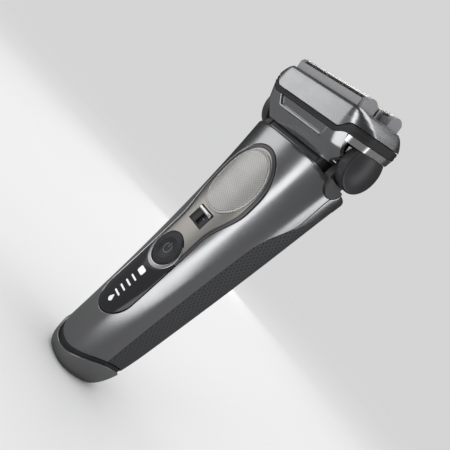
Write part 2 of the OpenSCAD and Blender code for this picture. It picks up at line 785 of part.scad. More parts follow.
module foil_carrier(side) {
    color([0.5, 0.5, 0.51]) foil_pair_place(side) difference() {
        union() {
            translate([-foil_half_l - 0.6, -4.75, 13.6])
                cube([2 * foil_half_l + 1.2, 9.5, carrier_top - 13.6]);
            translate([-carrier_half_l, -3.9, 13.6]) cube([2 * carrier_half_l, 7.8, foil_axis_z - 13.6]);
            intersection() {
                translate([-carrier_half_l, 0, foil_axis_z]) rotate([0, 90, 0])
                    cylinder(r = foil_r, h = 2 * carrier_half_l, $fn = 64);
                translate([-25, -3.9, foil_axis_z - 1]) cube([50, 7.8, 8]);
            }
        }
        translate([-foil_half_l, -4.1, 10]) cube([2 * foil_half_l, 8.2, 30]);
        for (end = [-1, 1]) translate([end * spring_x, 0, 10])
            cylinder(r = spring_r + 0.15, h = 5.9, $fn = 24);
    }
}
module foil_carrier_front() { foil_carrier(-1); }
module foil_carrier_rear() { foil_carrier(1); }

cutter_gap = 0.1;
blade_pitch = 2;
module cutter(side) {
    color([0.7, 0.7, 0.72]) foil_pair_place(side) {
        difference() {
            translate([-17.2, -2.4, 13.4]) cube([34.4, 4.8, 5.4]);
            translate([-1.55, -3, 13]) cube([3.1, 6, 4.3]);
        }
        for (k = [0:16]) translate([-16.2 + blade_pitch * k, 0, 0]) intersection() {
            translate([0, 0, foil_axis_z]) rotate([0, 90, 0])
                cylinder(r = foil_r - foil_sheet - cutter_gap, h = 0.4, $fn = 64);
            translate([-1, -3.7, 18.7]) cube([3, 7.4, 8]);
        }
    }
}
module cutter_front() { cutter(-1); }
module cutter_rear() { cutter(1); }

trimmer_y = 2.05;
comb_half_w = 1.3;
comb_top = 22.6;
module slot_trimmer_comb(side) {
    color([0.72, 0.72, 0.73]) place_head() translate([0, side * trimmer_y, 0]) difference() {
        translate([-17.4, -comb_half_w, 14.4]) cube([34.8, 2 * comb_half_w, comb_top - 14.4]);
        translate([-17, -comb_half_w + 0.35, 10]) cube([34, 2 * comb_half_w - 0.7, comb_top - 10.5]);
        for (k = [0:16]) translate([-16.3 + blade_pitch * k, -3, comb_top - 1.8]) cube([0.7, 6, 3]);
    }
}
module lift_trimmer_comb() { slot_trimmer_comb(-1); }
module direct_trimmer_comb() { slot_trimmer_comb(1); }

module slot_trimmer_blade(side) {
    color([0.7, 0.7, 0.7]) place_head() translate([0, side * trimmer_y, 0]) {
        translate([-16, -0.8, 15]) cube([32, 1.6, 5.2]);
        for (k = [0:15]) translate([-15.6 + blade_pitch * k, -0.8, 20.1]) cube([1.1, 1.6, 1.7]);
    }
}
module lift_trimmer_blade() { slot_trimmer_blade(-1); }
module direct_trimmer_blade() { slot_trimmer_blade(1); }

// ---------- what is drawn ----------

front_shell();
rear_grip();
rear_housing();
shoulder_covers();
bottom_cap();
bottom_seal();
panel_border();
panel_plate();
grip_pad();
display_window();
display_icons();
power_button_ring();
power_button();
lock_window();
lock_slider();
inner_chassis();
circuit_board();
board_components();
battery();
battery_contacts();
charging_socket();
socket_pins();
housing_screws();
swing_yoke();
neck_cover();
pivot_pins();
flex_cable();
trimmer_guide();
trimmer_cover();
trimmer_comb();
trimmer_blade();
head_frame();
head_seal();
side_housing_left();
side_housing_right();
side_trims();
drive_deck();
motor_core();
motor_coil();
motor_springs();
pin_boots();
release_button_left();
release_button_right();
mover_front();
mover_rear();
cassette_shell();
cassette_chassis();
float_springs();
foil_front();
foil_carrier_front();
foil_rear();
foil_carrier_rear();
cutter_front();
cutter_rear();
lift_trimmer_comb();
lift_trimmer_blade();
direct_trimmer_comb();
direct_trimmer_blade();
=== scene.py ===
import math

import bmesh
import bpy
import numpy as np
from mathutils import Matrix, Vector


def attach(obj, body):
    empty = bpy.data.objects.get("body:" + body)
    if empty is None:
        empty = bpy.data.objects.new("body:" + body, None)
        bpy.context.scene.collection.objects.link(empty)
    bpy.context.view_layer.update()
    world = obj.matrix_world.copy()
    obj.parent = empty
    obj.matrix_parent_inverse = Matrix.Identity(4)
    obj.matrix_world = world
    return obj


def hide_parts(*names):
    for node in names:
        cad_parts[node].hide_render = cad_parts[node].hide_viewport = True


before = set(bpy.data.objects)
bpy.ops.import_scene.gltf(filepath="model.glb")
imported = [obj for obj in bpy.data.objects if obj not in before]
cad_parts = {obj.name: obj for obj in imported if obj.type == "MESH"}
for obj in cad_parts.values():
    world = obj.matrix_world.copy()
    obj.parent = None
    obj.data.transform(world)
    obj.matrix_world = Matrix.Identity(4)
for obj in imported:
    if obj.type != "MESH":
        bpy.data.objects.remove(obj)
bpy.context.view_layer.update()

MM = 0.001

# ---------------------------------------------------------------- camera
CAM_AZ, CAM_EL, CAM_ROLL = 44.64, 1.44, 48.13      # degrees
CAM_FOCAL, FRAME_W, SENSOR_W = 575.69, 450, 36      # focal length and frame in pixels, sensor in mm
CAM_OFFSET = Vector((-3.841, -4.890, 242.158))      # of the aim point, in camera axes, mm
CAM_AIM = Vector((0.0, 0.0, 80.0))


def add_camera():
    az, el, roll = (math.radians(a) for a in (CAM_AZ, CAM_EL, CAM_ROLL))
    right = Vector((math.cos(az), math.sin(az), 0))
    ahead = Vector((-math.sin(az) * math.cos(el), math.cos(az) * math.cos(el), -math.sin(el)))
    up = right.cross(ahead)
    side = right * math.cos(roll) + up * math.sin(roll)
    top = -right * math.sin(roll) + up * math.cos(roll)
    # camera axes: x to the right, y up, z ahead
    place = CAM_AIM - (side * CAM_OFFSET.x + top * CAM_OFFSET.y + ahead * CAM_OFFSET.z)
    cam = bpy.data.cameras.new("camera")
    cam.lens = CAM_FOCAL / FRAME_W * SENSOR_W
    cam.sensor_width = SENSOR_W
    cam.clip_start, cam.clip_end = 0.005, 20
    obj = bpy.data.objects.new("camera", cam)
    bpy.context.scene.collection.objects.link(obj)
    rot = Matrix((side, top, -ahead)).transposed().to_4x4()
    obj.matrix_world = Matrix.Translation(place * MM) @ rot
    bpy.context.scene.camera = obj


add_camera()

# ---------------------------------------------------------------- materials


class Look:
    """A node material around one Principled shader."""

    def __init__(self, name, color, metallic=0.0, rough=0.4, **sockets):
        self.mat = bpy.data.materials.new(name)
        self.mat.use_nodes = True
        self.tree = self.mat.node_tree
        self.bsdf = self.tree.nodes["Principled BSDF"]
        self.color, self.rough = color, rough
        self.put("Base Color", (*color, 1))
        self.put("Metallic", metallic)
        self.put("Roughness", rough)
        for key, value in sockets.items():
            self.put(key.replace("_", " "), value)
        self.normal = None

    def put(self, socket, value):
        self.bsdf.inputs[socket].default_value = value

    def node(self, kind, **values):
        n = self.tree.nodes.new(kind)
        for key, value in values.items():
            if key in n.inputs:
                n.inputs[key].default_value = value
            else:
                setattr(n, key, value)
        return n

    def link(self, a, b):
        self.tree.links.new(a, b)

    def coords(self, scale, turn=0.0, uv=False):
        tc = self.node("ShaderNodeTexCoord")
        mp = self.node("ShaderNodeMapping")
        mp.inputs["Scale"].default_value = scale
        mp.inputs["Rotation"].default_value = (0, 0, turn)
        self.link(tc.outputs["UV" if uv else "Object"], mp.inputs["Vector"])
        return mp.outputs["Vector"]

    def noise(self, scale, detail=3.0, stretch=(1, 1, 1)):
        n = self.node("ShaderNodeTexNoise", Scale=scale, Detail=detail, Roughness=0.55)
        self.link(self.coords(stretch), n.inputs["Vector"])
        return n.outputs["Fac"]

    def spread(self, fac, low, high, out_low, out_high):
        r = self.node("ShaderNodeMapRange")
        for key, value in (("From Min", low), ("From Max", high), ("To Min", out_low), ("To Max", out_high)):
            r.inputs[key].default_value = value
        self.link(fac, r.inputs["Value"])
        return r.outputs["Result"]

    def vary_rough(self, fac, amount):
        self.link(self.spread(fac, 0.3, 0.7, self.rough - amount, self.rough + amount),
                  self.bsdf.inputs["Roughness"])
        return self

    def vary_color(self, fac, amount, low=0.3, high=0.7):
        dark = [max(0.0, c * (1 - amount)) for c in self.color]
        light = [min(1.0, c * (1 + amount)) for c in self.color]
        return self.mix_color(self.spread(fac, low, high, 0, 1), dark, light)

    def mix_color(self, fac, color_0, color_1):
        mix = self.node("ShaderNodeMix", data_type="RGBA")
        mix.inputs[6].default_value = (*color_0, 1)     # sockets 6 and 7 are the colours A and B
        mix.inputs[7].default_value = (*color_1, 1)
        self.link(fac, mix.inputs[0])
        self.link(mix.outputs[2], self.bsdf.inputs["Base Color"])
        return self

    def bump(self, fac, strength, distance):
        b = self.node("ShaderNodeBump", Strength=strength, Distance=distance)
        self.link(fac, b.inputs["Height"])
        if self.normal is not None:
            self.link(self.normal, b.inputs["Normal"])
        self.normal = b.outputs["Normal"]
        self.link(self.normal, self.bsdf.inputs["Normal"])
        return self

    def dots(self, pitch, radius):
        """1 inside a grid of dots turned by 45 degrees, 0 between them; pitch and radius in mm."""
        v = self.node("ShaderNodeTexVoronoi", voronoi_dimensions="2D", Scale=1.0, Randomness=0.0)
        self.link(self.coords((1000 / pitch,) * 3, math.radians(45), True), v.inputs["Vector"])
        return self.spread(v.outputs["Distance"], radius / pitch * 1.25, radius / pitch * 0.75, 0, 1)


def satin(name, color, metallic, rough, grain=2500, bump=0.06):
    """Fine-grained satin surface."""
    k = Look(name, color, metallic, rough)
    fine = k.noise(grain, 2.0)
    k.vary_rough(k.noise(60, 3.0), 0.035)
    k.vary_color(k.noise(25, 2.0), 0.03)
    return k.bump(fine, bump, 0.00004)


def brushed(name, color, rough, stretch):
    """Metal with fine lines along the axis whose stretch is 1."""
    k = Look(name, color, 1.0, rough)
    lines = k.noise(140, 4.0, stretch)
    k.vary_rough(lines, 0.05)
    k.vary_color(lines, 0.06)
    return k.bump(lines, 0.12, 0.00003)


# name: colour, metallic, roughness, then the grain's scale and the bump's strength
SATINS = {
    "silver_shell": ((0.56, 0.565, 0.575), 1.0, 0.23, 3500, 0.05),
    "silver_light": ((0.62, 0.625, 0.635), 1.0, 0.27, 3500, 0.05),
    "seal_rubber": ((0.02, 0.02, 0.022), 0.0, 0.5, 3000, 0.1),
    "dark_plastic": ((0.022, 0.022, 0.024), 0.0, 0.33, 2500, 0.08),
    "dark_satin": ((0.05, 0.05, 0.053), 0.35, 0.3, 3000, 0.05),
    "border_grey": ((0.13, 0.13, 0.135), 0.85, 0.3, 3000, 0.05),
    "mark_grey": ((0.16, 0.16, 0.17), 0.3, 0.35),
    "bright_chrome": ((0.88, 0.88, 0.89), 1.0, 0.17, 1500, 0.02),
    "board_green": ((0.03, 0.16, 0.07), 0.0, 0.3, 900, 0.2),
    "component_black": ((0.03, 0.03, 0.03), 0.0, 0.5),
    "cell_wrap": ((0.06, 0.2, 0.42), 0.0, 0.25, 600, 0.03),
    "contact_brass": ((0.83, 0.66, 0.32), 1.0, 0.2, 1200, 0.03),
    "flex_black": ((0.02, 0.02, 0.02), 0.0, 0.3, 700, 0.03),
    "foil_metal": ((0.78, 0.76, 0.72), 1.0, 0.25, 4000, 0.06),
    "carrier_grey": ((0.3, 0.3, 0.31), 0.4, 0.38, 2500, 0.06),
}
# name: colour, roughness, stretch
BRUSHED = {
    "champagne_metal": ((0.66, 0.635, 0.6), 0.33, (1, 40, 40)),
    "steel": ((0.62, 0.62, 0.63), 0.28, (40, 1, 40)),
    "copper": ((0.8, 0.42, 0.22), 0.3, (1, 1, 60)),
}
LOOKS = {name: satin(name, *values) for name, values in SATINS.items()}
LOOKS.update({name: brushed(name, *values) for name, values in BRUSHED.items()})


def grip_rubber():
    """Matt rubber with rows of small dimples, each darkened with painted shade."""
    k = Look("grip_rubber", (0.042, 0.043, 0.046), 0.0, 0.56, Specular_IOR_Level=0.45)
    dot = k.dots(1.9, 0.36)
    k.vary_rough(k.noise(400, 4.0), 0.05)
    # painted shade: inside each recessed dimple the colour drops almost to black, for the shade that falls in
    # it
    k.mix_color(dot, (0.05, 0.051, 0.054), (0.009, 0.009, 0.01))
    k.bump(k.noise(5000, 2.0), 0.15, 0.00004)
    return k.bump(k.spread(dot, 0, 1, 1, 0), 0.8, 0.00015)


def pad_metal():
    """Metal with a close grid of raised dots."""
    k = Look("grip_pad", (0.76, 0.75, 0.735), 1.0, 0.36)
    dot = k.dots(0.95, 0.27)
    k.vary_color(k.spread(dot, 0, 1, 1, 0), 0.16, 0, 1)
    k.vary_rough(k.noise(300, 3.0), 0.04)
    return k.bump(dot, 0.7, 0.0001)


def display_gloss():
    k = Look("display_gloss", (0.016, 0.016, 0.018), 0.0, 0.1, Coat_Weight=0.6, Coat_Roughness=0.05)
    k.vary_rough(k.noise(80, 3.0), 0.02)
    return k.bump(k.noise(300, 2.0), 0.03, 0.00003)


def icon_light():
    k = Look("icon_light", (0.85, 0.87, 0.86), 0.0, 0.35, Emission_Strength=0.05)
    k.put("Emission Color", (0.9, 0.95, 0.94, 1))
    k.vary_rough(k.noise(500, 2.0), 0.04)
    return k.vary_color(k.noise(300, 2.0), 0.05)


def button_dark():
    k = Look("button_dark", (0.03, 0.031, 0.034), 0.6, 0.27, Coat_Weight=0.3, Coat_Roughness=0.1)
    k.vary_rough(k.noise(120, 3.0), 0.03)
    return k.bump(k.noise(2500, 2.0), 0.05, 0.00003)


for make in (grip_rubber, pad_metal, display_gloss, icon_light, button_dark):
    LOOKS[make.__name__] = make()

# ---------------------------------------------------------------- meshes


def make_piece(name, verts, faces, body, look, nodes=(), sharp=38, uv=None):
    """verts in mm. Welds, turns the normals outwards, and hangs the piece on its body."""
    mesh = bpy.data.meshes.new(name)
    mesh.from_pydata((np.asarray(verts, float) * MM).tolist(), [], faces)
    if uv is not None:
        layer = mesh.uv_layers.new(name="UVMap")
        idx = np.zeros(len(mesh.loops), int)
        mesh.loops.foreach_get("vertex_index", idx)
        layer.data.foreach_set("uv", (np.asarray(uv, float)[idx] * MM).ravel())
    bm = bmesh.new()
    bm.from_mesh(mesh)
    bmesh.ops.remove_doubles(bm, verts=bm.verts, dist=2e-7)
    bmesh.ops.recalc_face_normals(bm, faces=bm.faces)
    bm.to_mesh(mesh)
    bm.free()
    mesh.polygons.foreach_set("use_smooth", [True] * len(mesh.polygons))
    mesh.set_sharp_from_angle(angle=math.radians(sharp))
    mesh.materials.append(LOOKS[look].mat)
    obj = bpy.data.objects.new(name, mesh)
    bpy.context.scene.collection.objects.link(obj)
    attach(obj, body)
    if nodes:
        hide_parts(*nodes)


def grid_faces(rows, cols, wrap_rows=False, wrap_cols=False, first=0):
    r = np.arange(rows if wrap_rows else rows - 1)
    c = np.arange(cols if wrap_cols else cols - 1)
    R, C = np.meshgrid(r, c, indexing="ij")
    R2, C2 = (R + 1) % rows, (C + 1) % cols
    f = np.stack([R * cols + C, R * cols + C2, R2 * cols + C2, R2 * cols + C], -1) + first
    return f.reshape(-1, 4)


def slab_faces(m, n):
    """Faces of a solid between two m by n grids, the second following the first."""
    faces = grid_faces(m, n).tolist() + grid_faces(m, n, first=m * n).tolist()
    rim = ([(0, j) for j in range(n)] + [(i, n - 1) for i in range(1, m)]
           + [(m - 1, j) for j in range(n - 2, -1, -1)] + [(i, 0) for i in range(m - 2, 0, -1)])
    rim = [i * n + j for i, j in rim]
    return faces + [[a, b, m * n + b, m * n + a] for a, b in zip(rim, rim[1:] + rim[:1])]


def barrel_faces(m, n):
    """Faces of a solid through m rings of n points; the two centres of its end fans come last."""
    faces = grid_faces(m, n, False, True).tolist()
    faces += [[m * n, (i + 1) % n, i] for i in range(n)]
    return faces + [[m * n + 1, (m - 1) * n + i, (m - 1) * n + (i + 1) % n] for i in range(n)]


class Mesh:
    """Collects vertices and faces of one piece."""

    def __init__(self):
        self.v, self.f, self.n = [], [], 0

    def add(self, verts, faces):
        self.v.append(np.asarray(verts, float).reshape(-1, 3))
        self.f.extend([[int(i) + self.n for i in f] for f in faces])
        self.n += len(self.v[-1])
        return self

    def torus(self, rows):
        """Closed surface through rings of equal length, the last joined to the first."""
        rows = np.asarray(rows)
        return self.add(rows, grid_faces(rows.shape[0], rows.shape[1], True, True))

    def barrel(self, rows):
        """Solid through rings, with a fan at each end."""
        rows = np.asarray(rows)
        verts = np.concatenate([rows.reshape(-1, 3), rows[0].mean(0)[None], rows[-1].mean(0)[None]])
        return self.add(verts, barrel_faces(*rows.shape[:2]))

    def piece(self, name, body, look, nodes=(), sharp=38):
        make_piece(name, np.concatenate(self.v), self.f, body, look, nodes, sharp)


# ---------------------------------------------------------------- the handle's form
H = 128.0                                   # height of the casing, mm
PIVOT = np.array([0.0, -3.0, 139.0])        # of the head
TILT = math.radians(19)                     # of the head, forwards
ROUND = 2.5                                 # exponent of the section's superellipse
SMILE_Z, SMILE_K, SEAL_GAP = 7.4, 0.03, 2.2  # the casing's curved lower edge, and the seal under it


def round_in(z, reach, depth):
    """How far a rounded end draws the outline in, at a distance z from the end."""
    q = np.clip(1 - np.asarray(z, float) / reach, 0, 1)
    return depth * (1 - np.sqrt(1 - q * q))


# the section at height z: half its width, and its depth in front of and behind the axis
def half_w(z):
    z = np.asarray(z, float)
    return (15.5 + 11.5 * (np.maximum(z, 0) / H) ** 1.4 - round_in(z, 14, 6.5)
            - round_in(np.maximum(H - z, 0), 2, 1.4))


def bow(z):
    return np.sin(np.pi * z / H)


def front_d(z):
    return (15.3 + 0.8 * z / H + 2.2 * (z / H) ** 6 - 1.5 * bow(z) - round_in(z, 5, 3)
            - round_in(np.maximum(H - z, 0), 2, 1.4))


def back_d(z):
    lean = 5.9 * (1 - np.sin(np.radians(np.minimum(90, 0.9 * z))))
    return 18.2 + 1.4 * bow(z) - lean - round_in(z, 26, 10.8) - round_in(np.maximum(H - z, 0), 2, 1.4)


# A place on the handle is (s, z): s is 20 times the angle round the section, 0 in front,
# so that both numbers are roughly millimetres.
TURN = 20.0
BACK_S = TURN * math.pi


def on_handle(s, z, t):
    """The point t mm below the surface at a place."""
    phi = np.asarray(s, float) / TURN
    z = np.asarray(z, float)
    sn, cs = np.sin(phi), np.cos(phi)
    r = (np.abs(sn) ** ROUND + np.abs(cs) ** ROUND) ** (-1 / ROUND)
    d = np.where(cs > 0, front_d(z), back_d(z)) - t
    return np.stack([(half_w(z) - t) * r * sn, -d * r * cs, z + 0 * r], -1)


def s_from_x(x, z, back=False):
    """The place's s on the front, or the back, from its x."""
    u = np.clip(np.abs(x) / half_w(z), 0, 1)
    v = (1 - u ** ROUND) ** (1 / ROUND)
    phi = np.arctan2(u, v)
    return TURN * np.sign(x) * (np.pi - phi if back else phi)


def s_from_y(y, z):
    """s on the +x side from y."""
    d = np.where(np.asarray(y) < 0, front_d(z), back_d(z))
    v = np.clip(np.abs(y) / d, 0, 1)
    u = (1 - v ** ROUND) ** (1 / ROUND)
    phi = np.arctan2(u, v)
    return TURN * np.where(np.asarray(y) < 0, phi, np.pi - phi)


def lengths(p):
    """Length along a polyline at each of its points."""
    return np.concatenate([[0], np.cumsum(np.linalg.norm(np.diff(p, axis=0), axis=1))])


def evenly(p, d, n):
    """n rows of p at even steps of d."""
    t = np.linspace(0, d[-1], n)
    return np.stack([np.interp(t, d, p[:, k]) for k in range(p.shape[1])], -1)


def averaged(q, w):
    """Each row averaged with w rows on either side; past the ends the rows are mirrored."""
    pad = np.concatenate([2 * q[0] - q[w:0:-1], q, 2 * q[-1] - q[-2:-w - 2:-1]])
    kernel = np.hanning(2 * w + 3)[1:-1]
    kernel /= kernel.sum()
    return np.stack([np.convolve(pad[:, k], kernel, "valid") for k in range(q.shape[1])], -1)


def smooth_path(points, reach, count=1200):
    """Dense version of a polyline with its corners rounded over about reach."""
    p = np.asarray(points, float)
    d = lengths(p)
    q = evenly(p, d, count)
    out = averaged(q, max(1, int(reach / d[-1] * count)))
    out[0], out[-1] = q[0], q[-1]
    return out


def resample(points, n):
    p = np.asarray(points, float)
    return evenly(p, lengths(p), n)


def joined(parts, counts):
    """One path of several, each resampled to its count; shared ends appear once."""
    out = [resample(p, c + 1)[:-1] for p, c in zip(parts, counts)]
    return np.concatenate(out + [np.asarray(parts[-1], float)[-1:]])


def mirror_path(path):
    """A right-half path followed backwards on the left half; both ends on x = 0."""
    left = path[::-1] * np.array([-1, 1])
    return np.concatenate([path, left[1:]])


def coons(low, high, first, last):
    """Grid spanned by its four edges."""
    n, m = len(low), len(first)
    u = np.linspace(0, 1, n)[None, :, None]
    v = np.linspace(0, 1, m)[:, None, None]
    corner = ((1 - u) * (1 - v) * low[0] + u * (1 - v) * low[-1]
              + (1 - u) * v * high[0] + u * v * high[-1])
    return ((1 - v) * low[None] + v * high[None] + (1 - u) * first[:, None] + u * last[:, None]
            - corner)


def ruled(low, high, rows):
    """Grid of straight lines between two paths."""
    v = np.linspace(0, 1, rows)[:, None, None]
    return (1 - v) * low[None] + v * high[None]


# edge profiles: (distance from the edge, depth), from the edge inwards
SOFT = [(0, 0.42), (0.05, 0.24), (0.16, 0.1), (0.32, 0.02), (0.5, 0)]
FINE = [(0, 0.2), (0.04, 0.1), (0.1, 0.03), (0.2, 0)]
HAIR = [(0, 0.1), (0.03, 0.04), (0.08, 0)]
NONE = [(0, 0)]
MIN_SHEET = 0.02


def edged(grid, low, high, first=None, last=None):
    """Adds the rows and columns of the edge profiles to a grid of places; returns places and depths."""
    def one_side(g, d, profile, at_end):
        if at_end:
            g, d = g[::-1], d[::-1]
        step = g[1] - g[0]
        size = np.maximum(np.linalg.norm(step, axis=-1, keepdims=True), 1e-6)
        top = profile[-1][0]
        squeeze = np.minimum(1.0, 0.85 * size / max(top, 1e-6))
        rows = [g[0] + step / size * (dist * squeeze) for dist, _ in profile]
        deep = [np.maximum(d[0], depth) for _, depth in profile]
        g = np.concatenate([np.stack(rows), g[1:]])
        d = np.concatenate([np.stack(deep), d[1:]])
        if at_end:
            g, d = g[::-1], d[::-1]
        return g, d

    depth = np.zeros(grid.shape[:2])
    grid, depth = one_side(grid, depth, low, False)
    grid, depth = one_side(grid, depth, high, True)
    if first is not None:
        g, d = one_side(grid.transpose(1, 0, 2), depth.T, first, False)
        g, d = one_side(g, d, last, True)
        grid, depth = g.transpose(1, 0, 2), d.T
    return grid, depth


def skin_piece(name, grid, depth, outer, inner, look, nodes=(), ring=False, open_cols=()):
    """Solid sheet over a grid of places on the handle, between two depths."""
    s, z = grid[..., 0], grid[..., 1]
    top = on_handle(s, z, outer + depth)
    low = on_handle(s, z, np.maximum(inner, outer + depth + MIN_SHEET))
    m, n = s.shape
    if ring:
        faces = grid_faces(m, n, False, True).tolist() + grid_faces(m, n, False, True, m * n).tolist()
        for row in (0, m - 1):
            a = row * n
            faces += [[a + i, a + (i + 1) % n, m * n + a + (i + 1) % n, m * n + a + i] for i in range(n)
                      if row == 0 or i not in open_cols]
    else:
        faces = slab_faces(m, n)
    verts = np.concatenate([top.reshape(-1, 3), low.reshape(-1, 3)])
    uv = np.concatenate([grid.reshape(-1, 2)] * 2)
    make_piece(name, verts, faces, "handle", look, nodes, uv=uv)


def disc_piece(name, loop, centre, edge, outer, inner, look, nodes=(), mid=None, rows=10):
    """Solid sheet inside a closed loop of (x, z) points: loop, optional middle loop, centre point."""
    at_centre = np.repeat([centre], len(loop), 0)
    if mid is None:
        grid = ruled(loop, at_centre, rows)[:-1]
    else:
        grid = np.concatenate([ruled(loop, mid, rows), ruled(mid, at_centre, 6)[1:-1]])
    # the last ring is kept just off the centre, so the fan has real triangles
    grid = np.concatenate([grid, grid[-1:] * 0.1 + 0.9 * np.asarray(centre)])
    grid, depth = edged(grid, edge, NONE)
    x, z = grid[..., 0], grid[..., 1]
    s = s_from_x(x, z)
    top = on_handle(s, z, outer + depth)
    low = on_handle(s, z, np.maximum(inner, outer + depth + MIN_SHEET))
    rings = np.concatenate([top[::-1], low])
    uv = np.concatenate([grid[::-1], grid]).reshape(-1, 2)
    verts = np.concatenate([rings.reshape(-1, 3), rings[0].mean(0)[None], rings[-1].mean(0)[None]])
    make_piece(name, verts, barrel_faces(*rings.shape[:2]), "handle", look, nodes,
               uv=np.concatenate([uv, [centre], [centre]]))


# ---------------------------------------------------------------- outlines on the handle
# half widths of the panel: low part, what it gains upwards, top part
PANEL_W, PANEL_FLARE, PANEL_TOP_W = 9.9, 4.9, 14.8
# heights: end of the low arc, end of the flare, centre of the top arc
PANEL_LOW_Z, FLARE_Z, PANEL_TOP_Z = 38, 98, 101.5


def panel_w(z):
    q = np.clip((np.asarray(z, float) - 75) / 21, 0, 1)
    return PANEL_W + PANEL_FLARE * (1 - np.cos(np.pi * q)) / 2


def panel_half(t):
    """Right half of the panel's outline, from the bottom up, drawn in by t."""
    a = np.radians(np.linspace(-90, 0, 30))
    low = np.stack([(PANEL_W - t) * np.cos(a), PANEL_LOW_Z + (11.5 - t) * np.sin(a)], -1)
    z = np.linspace(PANEL_LOW_Z, FLARE_Z, 70)[1:]
    side = np.stack([panel_w(z) - t, z], -1)
    z = np.linspace(FLARE_Z, PANEL_TOP_Z, 4)[1:]
    neck = np.stack([np.full(3, PANEL_TOP_W - t), z], -1)
    a = np.radians(np.linspace(0, 90, 40))[1:]
    high = np.stack([(PANEL_TOP_W - t) * np.cos(a), PANEL_TOP_Z + (19 - t) * np.sin(a)], -1)
    return np.concatenate([low, side, neck, high])


def pad_half(gap, n):
    """Right half of the grip pad's outline, from the bottom up; its ends lie on x = 0."""
    a = np.radians(np.linspace(-90, 90, n))
    half = np.stack([(12.6 + gap) * np.abs(np.cos(a)) ** 0.9, PAD_Z + (15.7 + gap) * np.sin(a)], -1)
    half[[0, -1], 0] = 0
    return half


def cut_from(path, z0):
    """The part of an upward path above z0."""
    k = int(np.argmax(path[:, 1] > z0))
    f = (z0 - path[k - 1, 1]) / (path[k, 1] - path[k - 1, 1])
    start = path[k - 1] + f * (path[k] - path[k - 1])
    return np.concatenate([start[None], path[k:]])


def place_front(path):
    """(x, z) on the front to (s, z)."""
    return np.stack([s_from_x(path[:, 0], path[:, 1]), path[:, 1]], -1)


SEAM = smooth_path([(-4, 5), (-4, 88), (-2.5, 96), (1, 104), (2, 108), (0, 121), (0, 129)], 3.5)
NOTCH_R = 5.45
NOTCH_SEAM_Z = H - math.sqrt(NOTCH_R ** 2 - PIVOT[1] ** 2)      # where the seam meets the notch
NOTCH_FRONT_Y, NOTCH_BACK_Y = PIVOT[1] - NOTCH_R + 0.01, PIVOT[1] + NOTCH_R - 0.01


def seam_y(z):
    return np.interp(z, SEAM[:, 1], SEAM[:, 0])


def seam_path(z0, z1, n=160):
    z = np.linspace(z0, z1, n)
    return np.stack([s_from_y(seam_y(z), z), z], -1)


def smile_point(s, lift=0.0, t=0.0):
    """z of the casing's lower edge at s."""
    z = np.full(np.shape(s), 10.0)
    for _ in range(12):
        x = on_handle(s, z, t)[..., 0]
        z = SMILE_Z + lift + SMILE_K * x * x
    return z


def smile_path(s0, s1):
    s = np.linspace(s0, s1, 80)
    return np.stack([s, smile_point(s)], -1)


def foot_of_seam():
    """s and z where the seam meets the lower edge."""
    z = 14.0
    for _ in range(20):
        s = float(s_from_y(seam_y(z), z))
        z = float(smile_point(np.array([s]))[0])
    return s, z


FOOT_S, FOOT_Z = foot_of_seam()


def notch_path(y0, y1):
    """Lower edge of the shoulder notch, from y0 to y1, as (s, z)."""
    a0, a1 = (math.acos(np.clip((y - PIVOT[1]) / NOTCH_R, -1, 1)) for y in (y0, y1))
    a = np.linspace(a0, a1, 40)
    y = PIVOT[1] + NOTCH_R * np.cos(a)
    z = H - NOTCH_R * np.sin(a)
    return np.stack([s_from_y(y, z), z], -1)


# ---------------------------------------------------------------- casing
BEVEL_BAND = [(0, 0.8), (0.05, 0.62), (0.16, 0.5), (0.3, 0.45), (1.5, 0.3), (1.75, 0.25), (2.3, 0.1),
              (3.0, 0.02), (3.6, 0)]
SLIDE_X = 16.7                              # edge of the rubber and the covers beside the trimmer's slide
FORK_Z, PEAK_Z = 104.0, 122.0               # where the covers' slanting edge begins and ends


def level(s0, s1, z, n):
    """Places at one height, from s0 to s1."""
    return np.stack([np.linspace(s0, s1, n), np.full(n, z)], -1)


def front_shell():
    """Casing between the panel's outline and, in order, lower edge, seam, notch and top."""
    inner = panel_half(0)
    cuts = [0, 29, 52, 85, 102, 125, len(inner) - 1]
    counts = [46, 40, 46, 30, 30, 36]
    inner_parts = [place_front(inner[a:b + 1]) for a, b in zip(cuts, cuts[1:])]
    top_s = float(s_from_y(NOTCH_FRONT_Y, H))
    outer_parts = [
        smile_path(0, FOOT_S),
        seam_path(FOOT_Z, 52),
        seam_path(52, 88),
        seam_path(88, 112),
        np.concatenate([seam_path(112, NOTCH_SEAM_Z, 40), notch_path(0, NOTCH_FRONT_Y)[1:]]),
        level(top_s, 0, H, 60)]
    low = mirror_path(joined(inner_parts, counts))[:-1]
    high = mirror_path(joined(outer_parts, counts))[:-1]
    grid, depth = edged(ruled(low, high, 34), BEVEL_BAND, SOFT)
    skin_piece("silver_casing", grid, depth, 0, 2.0, "silver_shell", ["front_shell"], ring=True)


